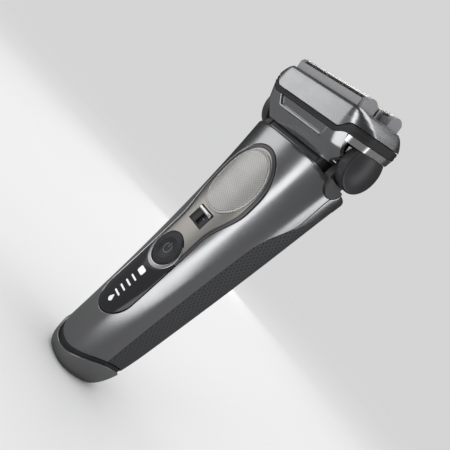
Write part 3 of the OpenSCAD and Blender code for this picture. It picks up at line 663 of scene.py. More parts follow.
def rubber_grip():
    def line(x0, z0, x1, z1, n=60):
        """Straight line on the back, from its x and z."""
        x, z = np.linspace(x0, x1, n), np.linspace(z0, z1, n)
        return np.stack([s_from_x(x, z, back=True), z], -1)

    def whole(path):
        left = path[::-1].copy()
        left[:, 0] = 2 * BACK_S - left[:, 0]
        return np.concatenate([path, left[1:]])

    # right half, from the top end round to the centre line of the back
    outer = [seam_path(FORK_Z, 98), seam_path(98, 86), seam_path(86, 40), seam_path(40, FOOT_Z),
             smile_path(FOOT_S, BACK_S)]
    inner = [line(SLIDE_X, 104, 6.8, 104), line(6.8, 104, 6.8, 82.6), line(6.8, 82.6, 6.2, 82, 20),
             line(6.2, 82, 4.6, 82, 20), line(4.6, 82, 0.001, 82)]
    slant = smooth_path([(1, FORK_Z), (9, PEAK_Z)], 0.5, 60)
    slant = np.stack([s_from_y(slant[:, 0], slant[:, 1]), slant[:, 1]], -1)
    # the end piece above the fork is its own stretch of the band
    counts = [26, 16, 34, 44, 30, 56]
    low = whole(joined([slant[::-1]] + outer, counts))
    high = whole(joined([line(SLIDE_X, 122, SLIDE_X, 104)] + inner, counts))
    first = resample(level(low[0, 0], high[0, 0], PEAK_Z, 40), 26)
    last = first.copy()
    last[:, 0] = 2 * BACK_S - first[:, 0]
    grid, depth = edged(coons(low, high, first, last), SOFT, FINE, FINE, FINE)
    skin_piece("rubber_grip", grid, depth, 0.12, 1.0, "grip_rubber", ["rear_grip"])


def shoulder_covers():
    n_end = 16
    y, z = np.linspace(1, 9, 60), np.linspace(FORK_Z, PEAK_Z, 60)
    slant = np.stack([s_from_y(y, z), z], -1)
    low_end, high_end = (float(s_from_x(SLIDE_X, z, back=True)) for z in (PEAK_Z, H))
    notch = np.concatenate([seam_path(FORK_Z, NOTCH_SEAM_Z, 60), notch_path(0, NOTCH_BACK_Y)[1:]])
    low = joined([slant, level(slant[-1, 0], low_end, PEAK_Z, 40)], [40, 24])
    high = joined([notch, level(notch[-1, 0], high_end, H, 40)], [40, 24])
    z = np.linspace(PEAK_Z, H, n_end)
    last = np.stack([s_from_x(np.full(n_end, SLIDE_X), z, back=True), z], -1)
    grid, depth = edged(coons(low, high, np.repeat(low[:1], n_end, 0), last), FINE, FINE, NONE, FINE)
    for side, name in ((1, "shoulder_cover_right"), (-1, "shoulder_cover_left")):
        skin_piece(name, grid * (side, 1), depth, 0.0, 0.9, "silver_shell", ["shoulder_covers"])


def stadium_towards(points, gap):
    """For each point, the spot on the charging socket's outline in its direction."""
    centre_y, radius, straight = -5.4, 4.2 + gap, 3.6
    out = []
    for dx, dy in points[:, :2] - np.array([0, centre_y]):
        k = radius / max(abs(dy), 1e-9)
        if abs(dx) * k > straight:
            sx = straight * np.sign(dx)
            a = dx * dx + dy * dy
            b = -2 * dx * sx
            q = sx * sx - radius ** 2
            k = (-b + math.sqrt(b * b - 4 * a * q)) / (2 * a)
        out.append((dx * k, centre_y + dy * k))
    return np.array(out)


def bottom_cap():
    n = 240
    out = -0.6                              # the cap stands proud of the casing
    floor_z = 2.4
    s = np.linspace(0, 2 * BACK_S, n, endpoint=False)
    edge_z = np.full(n, 8.0)
    for _ in range(15):
        x = on_handle(s, edge_z, out)[..., 0]
        edge_z = SMILE_Z - SEAL_GAP + SMILE_K * x * x
    base = on_handle(s, np.zeros(n), out)
    hole = stadium_towards(base, 0.05)
    rows = []
    for k, z in ((0, 0.25), (0.06, 0), (0.3, 0), (0.6, 0), (0.85, 0)):
        rows.append(np.column_stack([hole + (base[:, :2] - hole) * k, np.full(n, z)]))
    rows += [on_handle(s, edge_z * (1 - math.cos(a)), out) for a in np.linspace(0.0, math.pi / 2, 22)[:-1]]
    for back, depth in ((0.3, 0.0), (0.1, 0.06), (0.02, 0.2), (0.0, 0.4)):
        rows.append(on_handle(s, edge_z - back, out + depth))
    rows += [on_handle(s, edge_z, 2.0), on_handle(s, np.maximum(edge_z * 0.5, 2.6), 2.2),
             on_handle(s, np.full(n, floor_z), 2.6), np.column_stack([hole, np.full(n, floor_z)])]
    Mesh().torus(rows).piece("base_cap", "handle", "silver_light", ["bottom_cap"], 30)


def bottom_seal():
    s = np.linspace(0, 2 * BACK_S, 240, endpoint=False)
    low = smile_point(s, -SEAL_GAP, 0.5)
    high = smile_point(s, 0, 0.5)
    rows = [on_handle(s, low + (high - low) * f, 0.5 - 0.12 * math.sin(math.pi * f))
            for f in np.linspace(0, 1, 5)]
    rows += [on_handle(s, low + (high - low) * f, 2.1) for f in (1.0, 0.0)]
    Mesh().torus(rows).piece("base_gasket", "handle", "seal_rubber", ["bottom_seal"], 30)


# ---------------------------------------------------------------- control panel
BUTTON_R, BUTTON_Z, BUTTON_Y, BUTTON_GAP = 7.7, 63.0, -14.15, 0.15
CRESCENT_R, CRESCENT_Z = 8.85, 61.9
DISC_R = CRESCENT_R + 0.05                  # what border, plate and display leave free for the crescent
SPLIT_Z = 61.0                              # where plate and display meet
LOCK_X, LOCK_LOW, LOCK_TOP = 5.1, 77.6, 85.5            # opening of the lock switch
PAD_Z = 102


def off_disc(path, r, cz):
    """Pushes points out of a circle."""
    p = path.copy()
    d = p - np.array([0, cz])
    dist = np.linalg.norm(d, axis=1)
    k = dist < r
    p[k] = np.array([0, cz]) + d[k] / dist[k, None] * r
    return p


def panel_border():
    out = cut_from(panel_half(0.08), SPLIT_Z + 0.1)
    ins = off_disc(cut_from(panel_half(1.6), SPLIT_Z + 0.1), DISC_R, CRESCENT_Z)
    low, high = (place_front(mirror_path(resample(path, 150))) for path in (out, ins))
    grid, depth = edged(ruled(low, high, 6), FINE, FINE, HAIR, HAIR)
    skin_piece("panel_border_ring", grid, depth, 0.02, 1.6, "border_grey", ["panel_border"])


def circle_arc(r, cz, a0, a1, n=60):
    a = np.radians(np.linspace(a0, a1, n))
    return np.stack([r * np.cos(a), cz + r * np.sin(a)], -1)


def panel_plate():
    """Metal plate round the button, the lock switch and the pad."""
    inset = 1.65
    # outer edge, right half, from the top of the button's disc
    x0 = PANEL_W - inset
    z0 = CRESCENT_Z + math.sqrt(DISC_R * DISC_R - x0 * x0)
    arc = circle_arc(DISC_R, CRESCENT_Z, 90, math.degrees(math.atan2(z0 - CRESCENT_Z, x0)))
    over_button = BUTTON_Z + np.sqrt(np.maximum((BUTTON_R + BUTTON_GAP) ** 2 - arc[:, 0] ** 2, 0))
    arc[:, 1] = np.maximum(arc[:, 1], np.where(np.abs(arc[:, 0]) < 2.5, over_button, 0))
    side = cut_from(cut_from(panel_half(inset), SPLIT_Z + 0.1), z0)
    # this stretch of the side faces the slit below
    k1, k2 = (int(np.argmax(side[:, 1] > z)) for z in (85.3, 87))
    # inner edge: the lock switch's opening, a slit up to the pad's hole, and that hole
    pad = pad_half(0.1, 90)
    cut = 0.2                               # off the opening's corners
    lock = np.array([(0, LOCK_LOW), (LOCK_X - cut, LOCK_LOW), (LOCK_X, LOCK_LOW + cut),
                     (LOCK_X, LOCK_TOP - cut), (LOCK_X - cut, LOCK_TOP), (0, LOCK_TOP)])
    counts = [22, 30, 26, 110]
    low = joined([arc, side[:k1 + 1], side[k1:k2 + 1], side[k2:]], counts)
    high = joined([lock[:3], lock[2:5], np.concatenate([lock[4:], pad[:1]]), pad], counts)
    low, high = mirror_path(low)[:-1], mirror_path(high)[:-1]
    grid, depth = edged(ruled(place_front(low), place_front(high), 8), HAIR, NONE)
    # the slit is closed again by welding
    ahead = np.roll(high, -1, 0)
    slit = {i for i, (a, b) in enumerate(zip(high, ahead))
            if max(abs(a[0]), abs(b[0])) < 1e-6 and min(a[1], b[1]) > LOCK_TOP - 0.01
            and max(a[1], b[1]) < pad[0, 1] + 0.01}
    skin_piece("panel_plate_brushed", grid, depth, 0.2, 1.3, "champagne_metal",
               ["panel_plate"], ring=True, open_cols=slit)


def grip_pad():
    loop = mirror_path(pad_half(0, 80))[:-1]
    lip = [(0, 0.45), (0.08, 0.2), (0.25, 0.05), (0.55, 0.0), (0.9, 0.02), (1.3, 0.16), (1.7, 0.2)]
    disc_piece("grip_pad_dotted", loop, (0, PAD_Z), lip, -0.2, 1.4, "pad_metal", ["grip_pad"],
               rows=14)


def display_window():
    inset = 0.15
    x0 = PANEL_W - inset
    low = panel_half(inset)
    low = np.concatenate([low[low[:, 1] < SPLIT_Z], [[x0, SPLIT_Z]]])
    x1 = math.sqrt(DISC_R * DISC_R - (SPLIT_Z - CRESCENT_Z) ** 2)
    arc = circle_arc(DISC_R, CRESCENT_Z, math.degrees(math.atan2(SPLIT_Z - CRESCENT_Z, x1)), -90)
    half = joined([low, np.array([(x0, SPLIT_Z), (x1, SPLIT_Z)]), arc], [90, 3, 40])
    loop = mirror_path(half)[:-1]
    mid = np.stack([loop[:, 0] * 0.55, np.clip(loop[:, 1], 36, 48)], -1)
    disc_piece("display_glass", loop, (0, 43), FINE, 0.1, 1.4, "display_gloss",
               ["display_window"], mid=mid, rows=12)


def corner_arcs(hx, hy, r, n):
    """The rounded corners of a box, anticlockwise from the one at +x +y."""
    for q, (sx, sy) in enumerate(((1, 1), (-1, 1), (-1, -1), (1, -1))):
        a = np.radians(90 * q + np.linspace(0, 90, n))
        yield np.stack([sx * (hx - r) + r * np.cos(a), sy * (hy - r) + r * np.sin(a)], -1)


def rounded_box(hx, hy, r, n=10):
    return np.concatenate(list(corner_arcs(hx, hy, r, n)))


def display_icons():
    def icon(name, loop, z, rows, nodes=()):
        disc_piece(name, loop, (0, z), HAIR, 0.03, 0.9, "icon_light", nodes, rows=rows)

    for k in range(4):
        z = 35.8 + 3 * k
        icon(f"level_bar_{k + 1}", rounded_box(2.2, 0.42, 0.36) + (0, z), z, 4, ["display_icons"])
    z = 49.1
    icon("battery_icon", rounded_box(2.1, 1.5, 0.8) + (0, z), z, 5)
    z = 32.3
    a = np.linspace(0, 2 * np.pi, 48, endpoint=False)
    up = np.cos(a) > 0
    icon("water_drop_icon", np.stack([1.3 * np.sin(a) * np.where(up, 1 - 0.62 * np.cos(a), 1),
                                      z + np.where(up, 2.0, 1.35) * np.cos(a)], -1), z, 5)


def crescent():
    """Bright ring under the button, cut off level near the button's top."""
    z_cut = BUTTON_Z + 5
    edges = []
    for r, cz in ((CRESCENT_R, CRESCENT_Z), (BUTTON_R + BUTTON_GAP, BUTTON_Z)):
        a = math.degrees(math.asin((z_cut - cz) / r))
        edges.append(place_front(circle_arc(r, cz, a, -180 - a, 150)))
    rim = [(0, 0.22), (0.05, 0.1), (0.12, 0.03), (0.3, 0)]
    grid, depth = edged(ruled(*edges, 7), rim, FINE, HAIR, HAIR)
    skin_piece("button_crescent", grid, depth, 0.0, 0.9, "bright_chrome", ["power_button_ring"])


def dish(r):
    """Depth of the button's hollow face at a radius."""
    return math.sqrt(39 ** 2 - r * r) - 38.7


def power_button():
    a = np.linspace(0, 2 * np.pi, 144, endpoint=False)
    rings = [(0.05, 0.3)]
    for r in np.arange(0.2, 7.3, 0.1):
        ripple = 0.014 * math.sin(2 * math.pi * r / 0.62) if 3.6 < r < 7.0 else 0.0
        groove = 0.06 if 7.0 < r < 7.15 else 0.0
        rings.append((r, max(0.0, dish(r)) + ripple + groove))
    rings += [(7.4, 0.02), (7.58, 0.08), (7.68, 0.2), (BUTTON_R, 0.36), (BUTTON_R, 0.7), (7.25, 0.9),
              (7.25, 2.2), (4.0, 2.2), (0.3, 2.2)]
    rows = [np.stack([r * np.cos(a), np.full(len(a), BUTTON_Y + d), BUTTON_Z + r * np.sin(a)], -1)
            for r, d in rings]
    Mesh().barrel(rows).piece("power_button_dished", "power_button", "button_dark", ["power_button"], 32)

    # generic on-off symbol inlaid in the dish
    mark = Mesh()

    def bar(points, top, low, half=0.2):
        p = np.asarray(points, float)
        t = np.gradient(p, axis=0)
        t /= np.linalg.norm(t, axis=1, keepdims=True)
        prof = [(-half, low), (-half, top + 0.02), (-half + 0.04, top), (half - 0.04, top),
                (half, top + 0.02), (half, low)]
        mark.barrel([[(x - tz * w, y, z + tx * w) for w, y in prof] for (x, z), (tx, tz) in zip(p, t)])

    mark_r = 2.1
    steps = np.radians(np.linspace(125, 415, 60))
    y = BUTTON_Y + dish(mark_r)
    bar(np.stack([mark_r * np.cos(steps), BUTTON_Z + mark_r * np.sin(steps)], -1), y - 0.05, y + 0.2)
    stem = np.linspace(BUTTON_Z + 0.5, BUTTON_Z + 2.6, 8)
    bar(np.stack([np.zeros(8), stem], -1), BUTTON_Y + 0.18, BUTTON_Y + 0.5)
    mark.piece("on_off_symbol", "power_button", "mark_grey")


def soft_box(m, lo, hi, r):
    """Box with all its edges rounded."""
    lo, hi = np.array(lo, float), np.array(hi, float)
    c, half = (lo + hi) / 2, (hi - lo) / 2
    r = min(r, half.min() * 0.98)
    n = 5
    rows = []
    for sign, start in ((-1, -90), (1, 0)):
        for a in np.radians(np.linspace(start, start + 90, n)):
            inset = r * (1 - math.cos(a))
            ring = rounded_box(half[0] - inset, half[2] - inset, max(r - inset, 0.01 * r), n)
            y = sign * (half[1] - r) + r * math.sin(a)
            rows.append(np.column_stack([ring[:, 0] + c[0], np.full(len(ring), y + c[1]), ring[:, 1] + c[2]]))
    return m.barrel(rows)


def lock_slider():
    """Bright bar in front of the window, with a dark slide behind it that bears a plain mark."""
    y = -13.4                               # front of the window
    for name, look, nodes, boxes in (
            ("lock_bar", "bright_chrome", ["lock_slider"],
             [((-4.65, y - 1.9, 83.3), (4.65, y - 0.25, 85.1), 0.55)]),
            ("lock_slide", "dark_plastic", (),
             [((-1.3, y - 0.3, 83.6), (1.3, y + 1.3, 84.9), 0.1),
              ((-3, y + 1.2, 78.1), (3, y + 2, 90.1), 0.15)]),
            ("lock_mark", "silver_light", (),
             [((-1.25, y + 1.1, 81.2), (1.25, y + 1.35, 81.6), 0.08)])):
        m = Mesh()
        for box in boxes:
            soft_box(m, *box)
        m.piece(name, "lock_slider", look, nodes)


lock_slider()
front_shell()
rubber_grip()
shoulder_covers()
bottom_cap()
bottom_seal()
panel_border()
panel_plate()
grip_pad()
display_window()
display_icons()
crescent()
power_button()

# ---------------------------------------------------------------- the head, in its own frame
HW, HD = 30.6, 16.8                         # half width and half depth
FOIL_Y, FOIL_R, FOIL_Z = 9.0, 4.65, 19.2    # axis and radius of the foils


def to_world(p):
    """From the head's frame, whose origin is the pivot, to the object's."""
    p = np.asarray(p, float)
    c, s = math.cos(TILT), math.sin(TILT)
    return np.stack([p[..., 0], PIVOT[1] + p[..., 1] * c - p[..., 2] * s,
                     PIVOT[2] + p[..., 1] * s + p[..., 2] * c], -1)


def ease(t):
    """Smooth step from 0 to 1."""
    u = np.clip(t, 0, 1)
    return u * u * (3 - 2 * u)


SKIRT_Z, SKIRT_X, FRAME_X = -4.2, 21.9, 25.1            # foot of the walls, and their ends there and above
CORNER, FRONT_N, SIDE_N = 22, 120, 14


def ring_at(z, a, b, r, lift=0.0):
    """Rounded rectangle ring, corners and straights evenly cut; it rises by lift towards the sides."""
    # each corner is followed by a straight up to the point where the next corner starts
    straights = ((-(a - r), b, FRONT_N), (-a, -(b - r), SIDE_N), (a - r, -b, FRONT_N), (a, b - r, SIDE_N))
    out = []
    for arc, (x, y, count) in zip(corner_arcs(a, b, r, CORNER), straights):
        k = np.linspace(0, 1, count + 2)[1:-1, None]
        out += [arc, arc[-1] * (1 - k) + np.array((x, y)) * k]
    xy = np.concatenate(out)
    return np.column_stack([xy, z + lift * ease((np.abs(xy[:, 0]) - 19.5) / 5.5)])


def wall_rows(keys, count, soften=0.0):
    """Rings between key rings (z, a, b, r, lift); soften rounds the profile's corners."""
    k = np.asarray(keys, float)
    d = lengths(k[:, :3])
    q = evenly(k, d, count)
    return averaged(q, max(1, int(soften / d[-1] * count))) if soften else q


def lower_keys(t):
    """Key rings of the head's lower wall, drawn in by t."""
    return [(z, HW - a - t, HD - b - t, r - t, lift) for z, a, b, r, lift in (
        (SKIRT_Z, 6.2, 4.2, 8.4, 0), (-1, 4, 3, 9, 0), (2.5, 1.9, 1.3, 10, 0), (6.4, 0.2, 0.2, 11, 2.2))]


def polygon_inside(x, z, poly):
    """Signed distance to a convex polygon's edges, positive inside."""
    d = np.full(np.shape(x), 1e9)
    p = np.asarray(poly, float)
    for a, b in zip(p, np.roll(p, -1, 0)):
        e = (b - a) / np.linalg.norm(b - a)
        d = np.minimum(d, (x - a[0]) * -e[1] + (z - a[1]) * e[0])
    return d


def front_span(ring, sign, lim, n):
    """The part of a ring on one side, front or back, between x = -lim and lim."""
    p = ring[np.sign(ring[:, 1]) == sign]
    p = p[np.argsort(p[:, 0])]
    # steps get finer towards both ends
    x = lim * (np.sin(np.linspace(-np.pi / 2, np.pi / 2, n)) * 0.12 + np.linspace(-1, 1, n) * 0.88)
    return np.column_stack([x, np.interp(x, p[:, 0], p[:, 1]), np.interp(x, p[:, 0], p[:, 2])])


def head_frame():
    """Front and back walls with a shallow lipped tray, and the plate that carries the motor."""
    keys = wall_rows(lower_keys(0), 110, 0.9)
    lip = [(SKIRT_Z, HW - 6.6, HD - 4.6, 8, 0), (SKIRT_Z + 0.03, HW - 6.35, HD - 4.35, 8.2, 0)]
    outer = lip + list(keys[2:])
    inner = wall_rows(lower_keys(1.5), len(outer))
    tray = [(-14.0, 2.8), (14.0, 2.8), (17.3, 9.9), (-17.3, 9.9)]
    m = Mesh()
    for sign in (-1, 1):
        outside, inside = (
            np.array([front_span(ring_at(*key), sign,
                                 SKIRT_X + (FRAME_X - SKIRT_X) * float(ease((key[0] + 3.2) / 3.8)), 220)
                      for key in wall]) for wall in (outer, inner))
        d = polygon_inside(outside[..., 0], outside[..., 2], tray)
        ridge = np.exp(-((d + 0.45) / 0.42) ** 2)
        outside[..., 1] -= sign * (1.0 * ease(d / 0.8) - 0.3 * ridge)
        m.add(np.concatenate([outside, inside]), slab_faces(*outside.shape[:2]))
    plate = []
    for z, inset in ((-2.6, 0.3), (-2.5, 0.1), (-2.3, 0), (-0.95, 0)):
        xy = rounded_box(19.4 - inset, 12.0 - inset, 2.5)
        plate.append(np.column_stack([xy, np.full(len(xy), z)]))
    m.barrel(plate)
    m.v = [to_world(v) for v in m.v]
    m.piece("head_frame_lofted", "head", "silver_shell", ["head_frame"], 32)


def head_seal():
    rows = []
    for f in np.linspace(0, 1, 9):
        bulge = 0.3 * math.sin(math.pi * f)
        rib = 0.12 * math.sin(math.pi * f) * math.cos(2 * math.pi * 2 * f)
        t = 0.4 - 0.1 * f - bulge * 0.5 + rib
        rows.append(ring_at(6.5 + 2.0 * f, HW - t, HD - t, 10.6, 2.2 + 1.6 * f))
    rows.append(ring_at(8.5, HW - 1.8, HD - 1.8, 9.2, 3.8))
    rows.append(ring_at(6.5, HW - 1.8, HD - 1.8, 9.2, 2.2))
    Mesh().torus(to_world(np.array(rows))).piece("head_gasket", "head", "seal_rubber", ["head_seal"], 30)


def cassette_shell():
    """Tapered hood round the foils, with a chamfered top edge."""
    keys = [(8.8, HW, HD, 11, 3.8), (13.8, HW - 1.6, HD - 0.4, 9, 0.6), (16.2, HW - 3.6, HD - 0.8, 7, 0),
            (17.6, HW - 5.6, HD - 1.3, 5, 0), (18.6, HW - 7.8, HD - 1.9, 3.2, 0)]
    rows = [ring_at(8.8, HW - 0.35, HD - 0.35, 10.8, 3.8), ring_at(8.83, HW - 0.12, HD - 0.12, 10.9, 3.8)]
    rows += [ring_at(*k) for k in wall_rows(keys, 70, 1.1)[1:]]
    # over the top edge and down the inside
    for z, a, b, r, lift in ((18.64, 8.1, 2.15, 2.9, 0), (18.55, 8.4, 2.45, 2.5, 0),
                             (17.0, 8.5, 2.6, 2.4, 0), (15.64, 6.96, 2.2, 5.6, 0),
                             (13.5, 3.0, 1.8, 7.6, 0.6), (8.8, 1.4, 1.4, 9.6, 3.8)):
        rows.append(ring_at(z, HW - a, HD - b, r, lift))
    Mesh().torus(to_world(rows)).piece("cassette_body", "cassette", "silver_light", ["cassette_shell"], 26)


def side_trims():
    """Chrome bands between the seal and the round ears."""
    n, floor_z, thick = 60, 5.9, 1.2
    wall = []
    for k in wall_rows([(2.5, HW - 2.0, HD - 1.4, 10, 0), (6.4, HW - 0.3, HD - 0.3, 11, 2.2)], 22):
        ring = ring_at(*k)
        ring = ring[ring[:, 0] > 24.8]
        wall.append(resample(ring[np.argsort(ring[:, 1], kind="stable")], n))
    wall = np.array(wall)
    # rows run from the level cut up to the seal
    rows = []
    for f in np.linspace(0, 1, 8):
        z = floor_z + (wall[-1, :, 2] - floor_z) * f
        xy = [[np.interp(z[j], wall[:, j, 2], wall[:, j, k]) for k in (0, 1)] for j in range(n)]
        rows.append(np.column_stack([xy, z]))
    out = np.array(rows)
    loop = np.concatenate([out, out[::-1] - (thick, 0, 0)])
    m = Mesh()
    for side in (-1, 1):
        m.barrel(to_world(loop.transpose(1, 0, 2) * (side, 1, 1)))
    m.piece("side_trim_bands", "head", "bright_chrome", ["side_trims"], 30)


EAR_TOP = 5.8                               # the ears are cut off level under the trims


def lathe_rows(profile, top, side):
    """Rings round the x axis in the head's frame through (radius, x) pairs, cut off level at height top."""
    a = np.linspace(0, 2 * np.pi, 160, endpoint=False)
    c = np.cos(a)
    rows = []
    for r, x in profile:
        cut = np.where(c > 0, np.minimum(r, top / np.maximum(c, 1e-6)), r)
        rows.append(np.stack([np.full(len(a), side * x), cut * np.sin(a), cut * c], -1))
    return to_world(rows)


def ears():
    """Cups with a rim, inside which the release button sits, and a tab up to the head's wall."""
    cup = [(2.05, 25.2), (9.7, 25.2), (9.92, 25.35), (10.0, 25.6), (10.0, 29.2), (9.95, 29.4),
           (9.85, 29.45), (9.76, 29.35), (9.74, 28.2), (9.6, 28.1), (2.05, 28.1)]
    y, low, high = 6, 2.3, 8.1
    for side, name in ((1, "right"), (-1, "left")):
        m = Mesh().torus(lathe_rows(cup, EAR_TOP, side))
        tab = []
        for x, inset in ((25.25, 0.2), (25.4, 0), (26.6, 0), (26.75, 0.2)):
            w, h = y - inset, high - inset
            tab.append([[side * x, -w, low], [side * x, w, low], [side * x, w, h], [side * x, -w, h]])
        m.barrel(to_world(tab)).piece("ear_" + name, "head", "dark_satin", ["side_housing_" + name], 30)


def release_domes():
    dome = [(0.05, 31.4)]
    dome += [(r, 29.4 + math.sqrt(24.6 ** 2 - r * r) - 22.6) for r in np.linspace(0.4, 9.0, 26)]
    dome += [(9.3, 29.68), (9.5, 29.62), (9.6, 29.5), (9.6, 29.4), (9.55, 29.36), (0.3, 29.36)]
    for side, name in ((1, "right"), (-1, "left")):
        Mesh().barrel(lathe_rows(dome, EAR_TOP - 0.1, side)).piece(
            "release_dome_" + name, "release_" + name, "dark_satin", ["release_button_" + name], 32)


def foils():
    """Perforated arches: a honeycomb sheet bent round the foil's axis."""
    half_l, reach = 19.0, math.acos(2.2 / FOIL_R) * FOIL_R
    pitch, hole = 1.12, 0.66                # between cells, and the hole's share of a cell
    rad = pitch / math.sqrt(3)
    cols = int((half_l - 1.0) * 2 / pitch)
    lines = int((reach - 0.5) * 2 / (1.5 * rad))
    x0 = -(cols - 1) * pitch / 2
    w0 = -(lines - 1) * 1.5 * rad / 2
    edge_w, edge_x = -w0 + rad * 0.9, -x0 + pitch * 0.45
    corners = [math.radians(60 * k + 30) for k in range(6)]
    for side, name in ((-1, "front"), (1, "rear")):
        def bend(x, w, r):
            ang = w / FOIL_R
            return (x, side * FOIL_Y + r * math.sin(ang), FOIL_Z + r * math.cos(ang))

        verts, faces = [], []
        for i in range(lines):
            for j in range(cols - (i % 2)):
                cx = x0 + j * pitch + (pitch / 2 if i % 2 else 0)
                cw = w0 + i * 1.5 * rad
                base = len(verts)
                # outer and inner hexagon on the sheet's outside, then on its inside
                for r in (FOIL_R, FOIL_R - 0.15):
                    for size in (rad, rad * hole):
                        verts += [bend(cx + size * math.cos(a), cw + size * math.sin(a), r) for a in corners]
                faces += [[base + p + k, base + p + (k + 1) % 6, base + q + (k + 1) % 6, base + q + k]
                          for k in range(6) for p, q in ((0, 6), (12, 18), (6, 18))]
        m = Mesh().add(verts, faces)
        # plain margins frame the honeycomb
        for xa, xb, wa, wb, nx, nw in ((-half_l, half_l, -reach, -edge_w, 4, 4),
                                       (-half_l, half_l, edge_w, reach, 4, 4),
                                       (-half_l, -edge_x, -edge_w, edge_w, 3, 24),
                                       (edge_x, half_l, -edge_w, edge_w, 3, 24)):
            xs = np.linspace(xa, xb, nx)
            m.barrel([[bend(x, w, FOIL_R + 0.01) for x in xs] + [bend(x, w, FOIL_R - 0.16) for x in xs[::-1]]
                      for w in np.linspace(wa, wb, nw)])
        m.v = [to_world(v) for v in m.v]
        m.piece(f"foil_{name}_perforated", "foil_" + name, "foil_metal", ["foil_" + name], 50)


head_frame()
head_seal()
cassette_shell()
side_trims()
ears()
release_domes()
foils()

# ---------------------------------------------------------------- CAD nodes that stay
# look, width of the softened edges in mm, nodes
KEPT = (
    ("dark_plastic", 0, "rear_housing"),
    ("dark_plastic", 0.12, "lock_window"),
    ("dark_plastic", 0.15, "inner_chassis trimmer_guide drive_deck cassette_chassis"),
    ("dark_plastic", 0.2, "charging_socket"),
    ("dark_plastic", 0.3, "neck_cover"),
    ("dark_satin", 0.35, "trimmer_cover"),
    ("dark_satin", 0.5, "swing_yoke"),
    ("board_green", 0, "circuit_board"),
    ("component_black", 0.1, "board_components"),
    ("cell_wrap", 0.3, "battery"),
    ("contact_brass", 0.05, "battery_contacts"),
    ("contact_brass", 0.25, "socket_pins"),
    ("flex_black", 0, "flex_cable"),
    ("copper", 0.3, "motor_coil"),
    ("seal_rubber", 0.3, "pin_boots"),
    ("carrier_grey", 0.35, "foil_carrier_front foil_carrier_rear"),
    ("steel", 0, "motor_springs float_springs"),
    ("steel", 0.03, "cutter_front cutter_rear"),
    ("steel", 0.05, "trimmer_comb trimmer_blade lift_trimmer_blade direct_trimmer_blade"),
    ("steel", 0.1, "housing_screws motor_core lift_trimmer_comb direct_trimmer_comb"),
    ("steel", 0.2, "pivot_pins mover_front mover_rear"),
)


def dress(obj, look, width):
    if len(obj.data.materials) == 0:
        obj.data.materials.append(LOOKS[look].mat)
    for slot in obj.material_slots:
        slot.material = LOOKS[look].mat
    obj.data.polygons.foreach_set("use_smooth", [True] * len(obj.data.polygons))
    weld = obj.modifiers.new("weld", "WELD")
    weld.merge_threshold = 2e-6
    if width:
        bevel = obj.modifiers.new("soft_edges", "BEVEL")
        bevel.width = width * MM
        bevel.segments = 3
        bevel.limit_method = "ANGLE"
        bevel.angle_limit = math.radians(35)
        bevel.harden_normals = True
    normals = obj.modifiers.new("normals", "WEIGHTED_NORMAL")
    normals.keep_sharp = True
    normals.weight = 50


for look, width, nodes in KEPT:
    for node in nodes.split():
        dress(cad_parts[node], look, width)

# ---------------------------------------------------------------- floor and light
ROOM, DIM, FLOOR_GREY = 0.85, 0.05, 0.78    # the room as matt surfaces see it, as metal does, and the floor


def add_floor():
    n, half = 25, 4.0                       # grid lines, and half the floor's side in metres
    k = np.linspace(-1, 1, n)
    xs = np.sign(k) * np.abs(k) ** 1.6 * half
    mesh = bpy.data.meshes.new("floor")
    mesh.from_pydata([(x, y, 0.0) for y in xs for x in xs], [], grid_faces(n, n).tolist())
    obj = bpy.data.objects.new("floor", mesh)
    bpy.context.scene.collection.objects.link(obj)
    f = Look("floor_pale", (FLOOR_GREY,) * 3, 0.0, 0.8, Specular_IOR_Level=0.0)
    f.vary_rough(f.noise(6, 3.0), 0.05)
    f.vary_color(f.noise(3, 2.0), 0.01)
    # mirrored in metal the floor is dim, as if black card lay round the object
    path = f.node("ShaderNodeLightPath")
    dull = f.node("ShaderNodeBsdfDiffuse", Color=(0.16, 0.16, 0.16, 1))
    mix = f.node("ShaderNodeMixShader")
    for out, socket in ((path.outputs["Is Glossy Ray"], mix.inputs[0]), (f.bsdf.outputs[0], mix.inputs[1]),
                        (dull.outputs[0], mix.inputs[2]),
                        (mix.outputs[0], f.tree.nodes["Material Output"].inputs["Surface"])):
        f.link(out, socket)
    mesh.materials.append(f.mat)


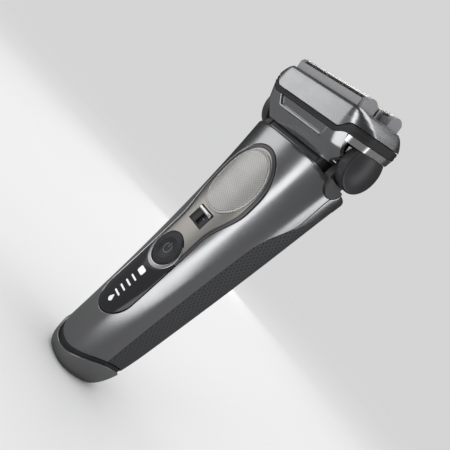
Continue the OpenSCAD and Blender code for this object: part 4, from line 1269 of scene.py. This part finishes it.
def add_light(name, place, aim, size, radiance):
    light = bpy.data.lights.new(name, "AREA")
    light.shape = "RECTANGLE"
    light.size, light.size_y = size
    light.energy = radiance * math.pi * size[0] * size[1]
    obj = bpy.data.objects.new(name, light)
    bpy.context.scene.collection.objects.link(obj)
    place, aim = Vector(place), Vector(aim)
    obj.matrix_world = Matrix.Translation(place) @ (aim - place).to_track_quat("-Z", "Y").to_matrix().to_4x4()
    obj.visible_camera = False


def add_world():
    world = bpy.data.worlds.new("studio")
    bpy.context.scene.world = world
    world.use_nodes = True
    t = world.node_tree
    t.nodes.clear()
    out = t.nodes.new("ShaderNodeOutputWorld")
    path = t.nodes.new("ShaderNodeLightPath")

    def grey(value):
        n = t.nodes.new("ShaderNodeBackground")
        n.inputs["Color"].default_value = (value, value, value * 1.01, 1)
        return n.outputs[0]

    def choose(test, other, chosen):
        mix = t.nodes.new("ShaderNodeMixShader")
        t.links.new(path.outputs[test], mix.inputs[0])
        t.links.new(other, mix.inputs[1])
        t.links.new(chosen, mix.inputs[2])
        return mix.outputs[0]

    # an even pale room for matt surfaces, a dim one for metal to mirror between the soft boxes
    lit = choose("Is Glossy Ray", grey(ROOM), grey(DIM))
    t.links.new(choose("Is Camera Ray", lit, grey(ROOM * FLOOR_GREY)), out.inputs[0])


BODY = (0, 0, 0.08)
LIGHTS = (
    # name, place, aim, size, radiance; the two cards lie on the floor and shine upwards
    ("front_strip", (0.10, -0.72, 0.16), BODY, (0.24, 0.9), 1.6),
    ("left_panel", (-0.62, -0.5, 0.19), BODY, (0.36, 0.5), 0.95),
    ("upper_left", (-0.58, 0.25, 0.7), (0, 0, 0.12), (0.3, 0.24), 2.4),
    ("right_strip", (0.56, 0.5, 0.2), BODY, (0.26, 0.9), 1.2),
    ("back_left_strip", (-0.52, 0.56, 0.2), BODY, (0.12, 0.9), 1.6),
    ("front_card", (0.07, -0.42, 0.003), (0.07, -0.42, 1), (0.2, 0.62), 1.3),
    ("left_card", (-0.36, -0.34, 0.003), (-0.36, -0.34, 1), (0.3, 0.3), 0.5),
    ("overhead", (0.0, 0.1, 0.9), BODY, (0.5, 0.6), 1.2),
)
add_floor()
add_world()
for row in LIGHTS:
    add_light(*row)
bpy.context.scene.view_settings.view_transform = "Standard"
